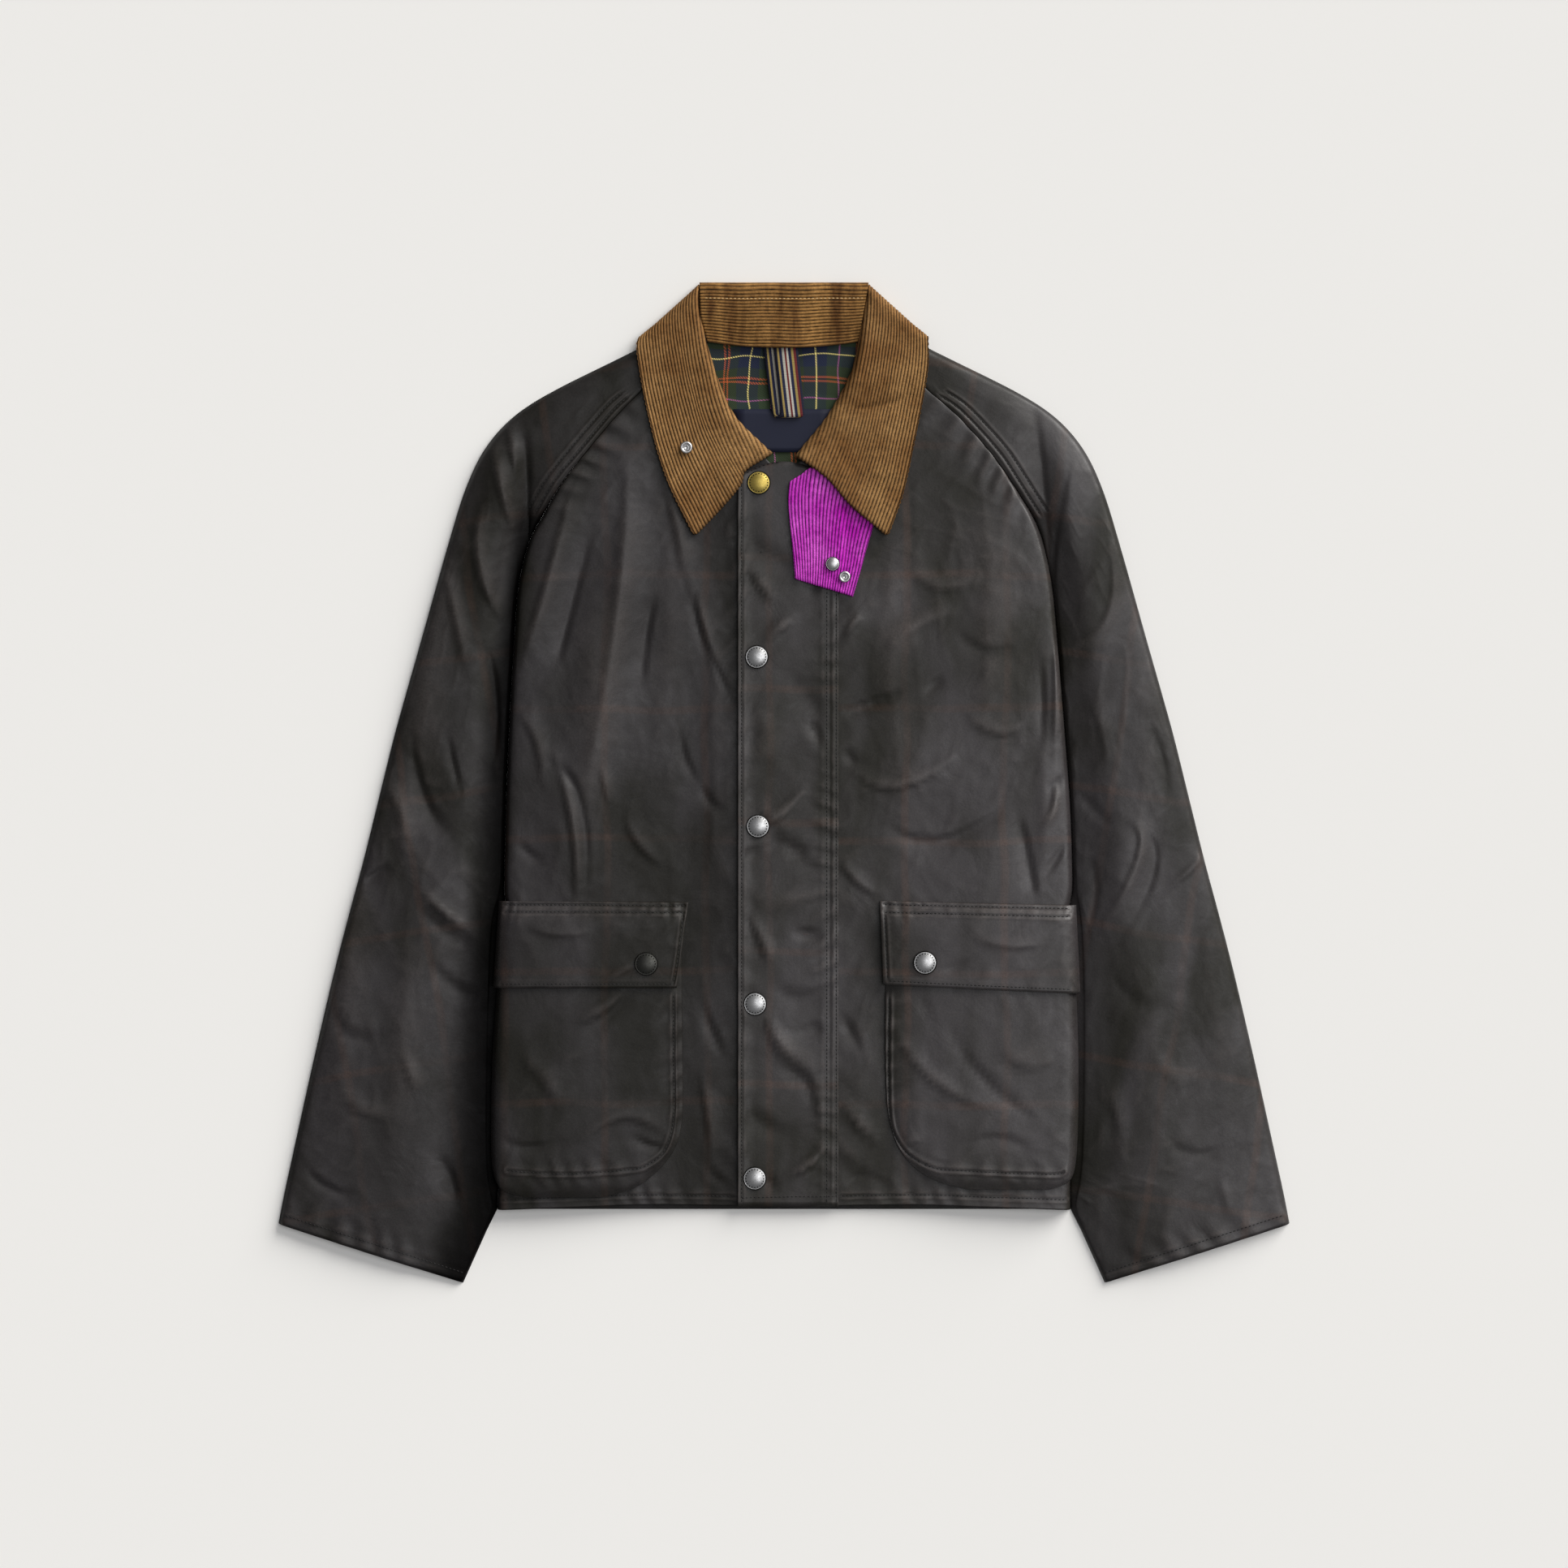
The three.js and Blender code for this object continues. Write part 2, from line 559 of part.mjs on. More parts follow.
function backGrid() {
  return STATIONS.map((station) => {
    const y = station === HEM_Y ? readTable(HEM_LINE, "out", 226, "y") : station;
    const outline = ["right", "left"].map((side) => (
      SIGN[side] * (readTable(BODY_EDGE, "y", station, side) - underInset(station))
    ));
    return outline.map((x) => [x, y]);
  });
}

function sleeveBackGrid(side) {
  return sleeveRows(side).map(({ from, to, length, innerY }) => {
    const start = underInset(innerY) / length;
    const end = 1 - UNDER_INSET / length;
    return [start, end].map((share) => {
      const spot = from.clone().lerp(to, share);
      return [SIGN[side] * spot.x, spot.y];
    });
  });
}

// Surface patch between four edges: across from first to second edge, down from top to bottom.
function patch(edges) {
  const curve = (points) => new THREE.SplineCurve(points.map(([x, y]) => new THREE.Vector2(x, y)));
  const [first, second, top, bottom] = edges.map(curve);
  return (across, down) => {
    const sides = first.getPointAt(down).lerp(second.getPointAt(down), across);
    const ends = top.getPointAt(across).lerp(bottom.getPointAt(across), down);
    const upper = top.getPointAt(0).lerp(top.getPointAt(1), across);
    const lower = bottom.getPointAt(0).lerp(bottom.getPointAt(1), across);
    return sides.add(ends).sub(upper.lerp(lower, down));
  };
}

// Rise of a quarter round of the given radius, one past its end.
function quarterRound(distance, radius) {
  const left = 1 - Math.min(Math.max(distance, 0) / radius, 1);
  return Math.sqrt(1 - left * left);
}

// Back, sleeve backs and what lies on the inside of the back
addSheet("back_panel", backGrid(), 0, CLOTH, WAXED_COTTON);
addSheet("right_sleeve_back", sleeveBackGrid("right"), 0, CLOTH, WAXED_COTTON);
addSheet("left_sleeve_back", sleeveBackGrid("left"), 0, CLOTH, WAXED_COTTON);

const liningGrid = LINING_ROWS.map((y) => {
  const half = readTable(NECKLINE, "y", y, "out") + LINING_UNDER_FRONT;
  const width = THREE.MathUtils.clamp(half, ...LINING_HALF_WIDTH);
  return [-1, 0, 1].map((share) => [share * width, y]);
});
const lining = addSheet("neck_lining", liningGrid, CLOTH + GAP, LINING, CHECKED_COTTON);

const labelGrid = [LABEL_BOX.toY, LABEL_BOX.fromY].map((y) => [[LABEL_BOX.fromX, y], [LABEL_BOX.toX, y]]);
const label = addSheet("neck_label", labelGrid, CLOTH + LINING + 2 * GAP, LABEL, NAVY_SATIN);

// Hanger loop: down from the neck seam, folded over at its low end and back up.
function hangerGrid() {
  const { width, topX, topY, lowX, lowY, skew, layerGap } = HANGER;
  const lower = clearHeight([lining, label], lowX, lowY, 9);
  const upper = lower + WEBBING * 2 + layerGap;
  const course = [
    { x: topX - skew, y: topY, z: lower },
    { x: lowX - skew, y: lowY + 4, z: lower },
    { x: lowX - skew / 2, y: lowY + 1, z: mix(lower, upper, 0.15) },
    { x: lowX, y: lowY, z: mix(lower, upper, 0.5) },
    { x: lowX + skew / 2, y: lowY + 1, z: mix(lower, upper, 0.85) },
    { x: lowX + skew, y: lowY + 4, z: upper },
    { x: topX + skew, y: topY, z: upper - 0.6 },
  ];
  return course.map(({ x, y, z }) => [-0.5, 0.5].map((share) => new THREE.Vector3(x + share * width, y, z)));
}
const hangerLoop = addWall("hanger_loop", hangerGrid(), WEBBING, STRIPED_WEBBING);

// Fronts and upper sleeves
const rightFront = addWall("right_front", frontGrid("right"), CLOTH, WAXED_COTTON);
const leftFront = addWall("left_front", frontGrid("left"), CLOTH, WAXED_COTTON);
const rightSleeve = addWall("right_sleeve_front", sleeveGrid("right"), CLOTH, WAXED_COTTON);
const leftSleeve = addWall("left_sleeve_front", sleeveGrid("left"), CLOTH, WAXED_COTTON);
const FRONT = { right: rightFront, left: leftFront };

// Storm flap, lying over both fronts
function stormFlapGrid() {
  const rows = [];
  for (let i = 0; i <= STORM_FLAP_ROWS; i += 1) {
    rows.push(STORM_FLAP_ACROSS.map((share) => {
      const x = mix(STORM_FLAP.right, STORM_FLAP.left, share);
      const topY = STORM_FLAP.peakY - STORM_FLAP.peakFall * x * x;
      const y = mix(topY, STORM_FLAP.bottomY, i / STORM_FLAP_ROWS);
      const beneath = clearHeight([rightFront, leftFront], x, Math.max(y, STORM_FLAP.bottomY + 4), 3);
      return new THREE.Vector3(x, y, Math.max(beneath, BODY_TOP_AT_FRONT + GAP) + CLOTH);
    }));
  }
  return rows;
}
const stormFlap = addWall("storm_flap", stormFlapGrid(), CLOTH, WAXED_COTTON);

// Bellows pockets
function pocketGrid(side) {
  const table = POCKETS[side];
  const mouthY = table[0].y;
  const bottomY = table[table.length - 1].y;
  const rowHeights = [mouthY, ...POCKET_ROWS, ...table.slice(3).map((row) => row.y)];
  return rowHeights.map((y) => {
    const inner = readTable(table, "y", y, "inner");
    const outer = readTable(table, "y", y, "outer");
    const bodyFlatEnd = readTable(BODY_EDGE, "y", y, side) - BODY_ROLL - 1;
    return POCKET_ACROSS.map((share) => {
      const out = mix(inner, outer, share);
      const toEdge = Math.min(out - inner, y - bottomY + (out - inner) * 0.02, mouthY - y + 5);
      const stand = POCKET_DEPTH * ease(0, POCKET_SHOULDER, toEdge);
      const under = clearHeight([FRONT[side]], SIGN[side] * Math.min(out, bodyFlatEnd), y, 4);
      const plateau = under + CLOTH + stand;
      const beneath = clearHeight([FRONT[side]], SIGN[side] * out, y, 4) + CLOTH;
      const low = Math.max(POCKET_SIDE_LOW, beneath);
      const z = mix(low, plateau, quarterRound(outer - out, POCKET_SIDE_ROLL));
      return new THREE.Vector3(SIGN[side] * out, y, z);
    });
  });
}
const BAG = {
  right: addWall("right_pocket", pocketGrid("right"), CLOTH, WAXED_COTTON),
  left: addWall("left_pocket", pocketGrid("left"), CLOTH, WAXED_COTTON),
};

function pocketFlapGrid(side) {
  const flap = POCKET_FLAPS[side];
  return POCKET_FLAP_DOWN.map((down) => {
    const inner = mix(flap.topInner, flap.bottomInner, down);
    const outer = mix(flap.topOuter, flap.bottomOuter, down);
    return POCKET_ACROSS.map((share) => {
      const out = mix(inner, outer, share);
      const topY = mix(flap.innerTopY, flap.outerTopY, share);
      const y = mix(topY, mix(flap.innerBottomY, flap.outerBottomY, share), down);
      const overBag = Math.min(out, outer - POCKET_SIDE_ROLL - 4);
      const under = clearHeight([FRONT[side], BAG[side]], SIGN[side] * overBag, y, 5);
      const plateau = under + CLOTH + (down > 0 ? POCKET_FLAP_SPREAD : 0);
      const z = mix(POCKET_FLAP_LOW, plateau, quarterRound(outer - out, POCKET_SIDE_ROLL));
      return new THREE.Vector3(SIGN[side] * out, y, z);
    });
  });
}
const POCKET_FLAP = {
  right: addWall("right_pocket_flap", pocketFlapGrid("right"), CLOTH, WAXED_COTTON),
  left: addWall("left_pocket_flap", pocketFlapGrid("left"), CLOTH, WAXED_COTTON),
};

// Ribs of corduroy: every other column of the grid is raised.
const wales = (row, column) => (column % 2) * WALE_HEIGHT;

// Throat tab, its wales running down it
function throatTabGrid() {
  const { left, right, top } = THROAT_TAB;
  const bottom = [left[left.length - 1], right[right.length - 1]];
  const spot = patch([left, right, top, bottom]);
  return TAB_DOWN.map((down) => {
    const row = [];
    for (let i = 0; i <= TAB_WALES * 2; i += 1) {
      const { x, y } = spot(i / (TAB_WALES * 2), down);
      row.push(new THREE.Vector3(x, y, clearHeight([leftFront, stormFlap], x, y, 4) + TAB_THICKNESS));
    }
    return row;
  });
}
const throatTab = addWall("throat_tab", throatTabGrid(), TAB_THICKNESS, PURPLE_CORDUROY, wales);

// Collar stand: its section runs up the neck, over the top fold and back under it on the table.
function collarStandGrid() {
  const foldOut = (side, y) => {
    const table = COLLAR_LEAVES[side].fold.map(([out, height]) => ({ out, height }));
    return readTable(table, "height", y, "out") - STAND.besideFold;
  };
  return STAND_ACROSS.map((share) => {
    const lowerY = STAND.lowerY + STAND.lowerRise * share * share;
    const rollStartY = STAND.topY - STAND_ROLL;
    const section = [];
    const low = clearHeight([lining, hangerLoop], share * STAND.supportOut, lowerY, 4) + CORDUROY;
    for (let i = 0; i <= STAND_WALES * 2; i += 1) {
      const up = i / (STAND_WALES * 2);
      section.push({ y: mix(lowerY, rollStartY, up), z: mix(low, STAND.level, ease(0, 0.7, up)) });
    }
    for (let i = 1; i <= STAND_ROLL_STEPS; i += 1) {
      const angle = Math.PI * (i / STAND_ROLL_STEPS);
      const z = STAND.level * (1 + Math.cos(angle)) / 2;
      section.push({ y: rollStartY + STAND_ROLL * Math.sin(angle), z });
    }
    section.push({ y: STAND.underEndY, z: 0 });
    return section.map(({ y, z }) => {
      const side = share < 0 ? "right" : "left";
      return new THREE.Vector3(share * foldOut(side, Math.min(y, STAND.foldTopY)), y, z);
    });
  });
}
const standRelief = (row, column) => (column <= STAND_WALES * 2 ? wales(row, column) : 0);

// Collar leaves, folded down along the neck and lying on the fronts and sleeves
function collarLeafGrid(side, beneath) {
  const { fold, outer, lower } = COLLAR_LEAVES[side];
  const spot = patch([fold, outer, [fold[0], outer[0]], lower]);
  return LEAF_DOWN.map((down) => {
    const row = [];
    for (let i = 0; i <= LEAF_WALES * 2; i += 1) {
      const across = i / (LEAF_WALES * 2);
      const place = spot(across, down);
      const x = SIGN[side] * place.x;
      const reach = mix(...LEAF_REACH, ease(...LEAF_POINT, down));
      const resting = clearHeight(beneath, x, place.y, reach) + CORDUROY;
      const level = mix(LEAF_LEVEL, 0, ease(...LEAF_SETTLE, down));
      const standing = LEAF_LOFT * (1 - across) ** 1.4 * Math.sin(Math.PI * Math.min(down * 1.1, 1)) ** 0.8;
      const lying = Math.max(resting, level) + standing;
      const cleared = clearHeight(beneath, x, place.y, LEAF_EDGE_REACH);
      const fromFold = place.distanceTo(spot(0, down));
      const foldShare = quarterRound(fromFold, LEAF_FOLD_RADIUS);
      const topShare = quarterRound(down * LEAF_LENGTH, LEAF_TOP_RADIUS);
      const overTable = down === 0 && cleared < CLOTH;
      const edgeHeight = overTable ? 0 : Math.min(cleared + LEAF_EASE, lying);
      const z = mix(edgeHeight, lying, Math.min(foldShare, topShare));
      row.push(new THREE.Vector3(x, place.y, z));
    }
    return row;
  });
}
const underLeaf = {
  right: [lining, label, rightFront, rightSleeve, stormFlap],
  left: [lining, label, leftFront, leftSleeve, stormFlap, throatTab],
};
addWall("collar_stand", collarStandGrid(), CORDUROY, BROWN_CORDUROY, standRelief);
function addLeaf(side) {
  const grid = collarLeafGrid(side, underLeaf[side]);
  return addWall(`${side}_collar_leaf`, grid, CORDUROY, BROWN_CORDUROY, wales);
}
const rightLeaf = addLeaf("right");
addLeaf("left");

// Snap fastener cap: a low drum with a rounded rim and a shallow groove round a raised middle.
function addSnap(name, { x, y, radius = SNAP_RADIUS }, beneath, look) {
  const height = SNAP_HEIGHT * Math.sqrt(radius / SNAP_RADIUS);
  const profile = [
    [0, 0],
    [0.92, 0],
    [1, 0.3],
    [0.97, 0.66],
    [0.84, 0.9],
    [0.66, 0.74],
    [0.52, 0.8],
    [0.24, 1],
    [0, 1],
  ].map(([out, up]) => new THREE.Vector2(out * radius, up * height));
  const geometry = new THREE.LatheGeometry(profile, SNAP_SIDES);
  geometry.rotateX(Math.PI / 2);
  const snap = addPiece(name, geometry, look);
  snap.position.set(x, y, clearHeight(beneath, x, y, radius));
  return snap;
}

FLAP_STUDS.forEach((place, i) => addSnap(`flap_stud_${i + 1}`, place, [stormFlap], GUNMETAL));
addSnap("neck_stud", NECK_STUD, [stormFlap], BRASS);
addSnap("right_pocket_stud", POCKET_STUDS.right, [POCKET_FLAP.right], GUNMETAL);
addSnap("left_pocket_stud", POCKET_STUDS.left, [POCKET_FLAP.left], GUNMETAL);
addSnap("tab_stud", TAB_STUD, [throatTab], GUNMETAL);
addSnap("tab_socket", TAB_SOCKET, [throatTab], GUNMETAL);
addSnap("collar_stud", COLLAR_STUD, [rightLeaf], GUNMETAL);

export default group;
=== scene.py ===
# Waxed cotton jacket, zipped and studded, laid flat on its back and seen from straight above.
# Metres, +Z up, collar towards +Y, the wearer's left on +X. Right and left are the wearer's.
import math
import bmesh
import bpy
import numpy as np
from mathutils import Matrix, Vector
from mathutils.bvhtree import BVHTree
from mathutils.kdtree import KDTree


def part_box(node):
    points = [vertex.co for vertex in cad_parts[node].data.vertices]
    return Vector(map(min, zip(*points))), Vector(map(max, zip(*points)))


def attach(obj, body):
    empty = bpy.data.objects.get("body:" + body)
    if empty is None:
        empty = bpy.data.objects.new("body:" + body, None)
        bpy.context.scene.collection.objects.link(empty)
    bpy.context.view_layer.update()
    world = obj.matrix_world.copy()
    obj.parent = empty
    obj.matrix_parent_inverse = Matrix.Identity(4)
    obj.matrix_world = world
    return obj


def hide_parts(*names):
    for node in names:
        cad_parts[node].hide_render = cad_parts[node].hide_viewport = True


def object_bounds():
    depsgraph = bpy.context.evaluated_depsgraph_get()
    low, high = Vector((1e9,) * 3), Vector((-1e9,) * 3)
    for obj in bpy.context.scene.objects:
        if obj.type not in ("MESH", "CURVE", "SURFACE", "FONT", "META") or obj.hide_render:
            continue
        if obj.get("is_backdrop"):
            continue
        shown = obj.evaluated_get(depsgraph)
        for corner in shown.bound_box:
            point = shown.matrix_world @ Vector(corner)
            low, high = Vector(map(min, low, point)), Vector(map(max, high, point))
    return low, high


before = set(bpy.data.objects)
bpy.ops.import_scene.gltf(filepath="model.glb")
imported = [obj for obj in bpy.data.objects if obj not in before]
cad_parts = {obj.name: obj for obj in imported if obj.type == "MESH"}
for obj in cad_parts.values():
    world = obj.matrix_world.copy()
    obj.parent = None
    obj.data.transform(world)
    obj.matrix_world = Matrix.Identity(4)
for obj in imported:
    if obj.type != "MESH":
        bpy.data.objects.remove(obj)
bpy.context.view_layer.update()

MM = 0.001


# Camera, table and lights
# The jacket lies on a plain pale table. A wide soft key light comes from low at the upper right, a weaker
# one from nearly overhead, and the room fills in. The camera looks straight down from above the middle.
PHOTO_WIDTH = 1236.5 * MM  # what the frame takes in at the height of the cloth
CAMERA_LENS = 100.0
CAMERA_SENSOR = 36.0
CLOTH_LEVEL = 9 * MM
TABLE_COLOUR = "#e9e8e5"
TABLE_REACH = 20.0
LIGHTS = {  # azimuth from +X, elevation and apparent width in degrees, then strength and colour
    "key_upper_right": (46, 24, 44, 4.2, "#fffdfa"),
    "overhead": (10, 70, 34, 0.92, "#fdfdff"),
}
ROOM_COLOUR = "#f2f3f6"
ROOM_STRENGTH = 0.24


def linear(colour):
    channels = [int(colour[i:i + 2], 16) / 255 for i in (1, 3, 5)]
    return tuple(c / 12.92 if c <= 0.04045 else ((c + 0.055) / 1.055) ** 2.4 for c in channels) + (1.0,)


def add_node(tree, kind, inputs=None, **settings):
    """Adds a shader node. An input takes a value, or the output socket that it is linked from."""
    node = tree.nodes.new(kind)
    for key, value in settings.items():
        setattr(node, key, value)
    for key, value in (inputs or {}).items():
        if isinstance(value, bpy.types.NodeSocket):
            tree.links.new(value, node.inputs[key])
        else:
            node.inputs[key].default_value = value
    return node


def maths(tree, operation, *values):
    return add_node(tree, "ShaderNodeMath", dict(enumerate(values)), operation=operation).outputs[0]


def noise(tree, place, scale, detail, roughness=0.5, distortion=0.0):
    return add_node(tree, "ShaderNodeTexNoise", {
        "Vector": place, "Scale": scale, "Detail": detail, "Roughness": roughness, "Distortion": distortion,
    }).outputs["Fac"]


def blend(tree, share, first, second):
    """Colour between two, by a share from 0 to 1."""
    return add_node(tree, "ShaderNodeMix", {"Factor": share, "A": first, "B": second},
                    data_type="RGBA").outputs["Result"]


def remap(tree, value, old_ends, new_ends):
    """Value stretched from its old ends to new ones, and held there."""
    return add_node(tree, "ShaderNodeMapRange", {
        "Value": value, "From Min": old_ends[0], "From Max": old_ends[1],
        "To Min": new_ends[0], "To Max": new_ends[1],
    }).outputs["Result"]


def new_material(name):
    """A material, its node tree and its shader."""
    material = bpy.data.materials.new(name)
    material.use_nodes = True
    return material, material.node_tree, material.node_tree.nodes["Principled BSDF"]


def link_mesh(name, mesh):
    piece = bpy.data.objects.new(name, mesh)
    bpy.context.scene.collection.objects.link(piece)
    return piece


camera_data = bpy.data.cameras.new("camera")
camera_data.lens = CAMERA_LENS
camera_data.sensor_width = CAMERA_SENSOR
camera = bpy.data.objects.new("camera", camera_data)
camera.location = (0, 0, CLOTH_LEVEL + PHOTO_WIDTH * CAMERA_LENS / CAMERA_SENSOR)
bpy.context.scene.collection.objects.link(camera)
bpy.context.scene.camera = camera

table_mesh = bpy.data.meshes.new("table")
bm = bmesh.new()
bmesh.ops.create_grid(bm, x_segments=2, y_segments=2, size=TABLE_REACH)
bm.to_mesh(table_mesh)
bm.free()
table = link_mesh("table", table_mesh)
material, tree, shader = new_material("matte_pale_table")
shader.inputs["Base Color"].default_value = linear(TABLE_COLOUR)
shader.inputs["Roughness"].default_value = 0.9
shader.inputs["Specular IOR Level"].default_value = 0.1
table_mesh.materials.append(material)
table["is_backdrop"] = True

for name, (azimuth, elevation, width, strength, colour) in LIGHTS.items():
    data = bpy.data.lights.new(name, "SUN")
    data.energy = strength
    data.angle = math.radians(width)
    data.color = linear(colour)[:3]
    lamp = bpy.data.objects.new(name, data)
    lamp.rotation_euler = (0, math.radians(90 - elevation), math.radians(azimuth))
    bpy.context.scene.collection.objects.link(lamp)
world = bpy.data.worlds.new("room")
bpy.context.scene.world = world
world.use_nodes = True
world.node_tree.nodes["Background"].inputs["Color"].default_value = linear(ROOM_COLOUR)
world.node_tree.nodes["Background"].inputs["Strength"].default_value = ROOM_STRENGTH
bpy.context.scene.view_settings.view_transform = "Standard"


# Body and sleeves
# Panels of heavy cotton soaked in wax, felled together at the raglan and side seams. Each is its solid's
# wall, refined, with the creases of the photograph pressed into it as soft troughs and ridges.
WAX_DARK = "#1f1d17"
WAX_MID = "#2d292a"
WAX_WORN = "#57504d"
OVERCHECK = "#5e4030"
CHECK_PITCH = (0.079, 0.104)
CHECK_LINE = 0.0044
CRUMPLE_HEIGHT = 0.6 * MM
KEY_SIDE = (0.69, 0.72)  # which way the main light comes from, as the steeper side of a crease turns from it
PANEL_LEVELS = 3

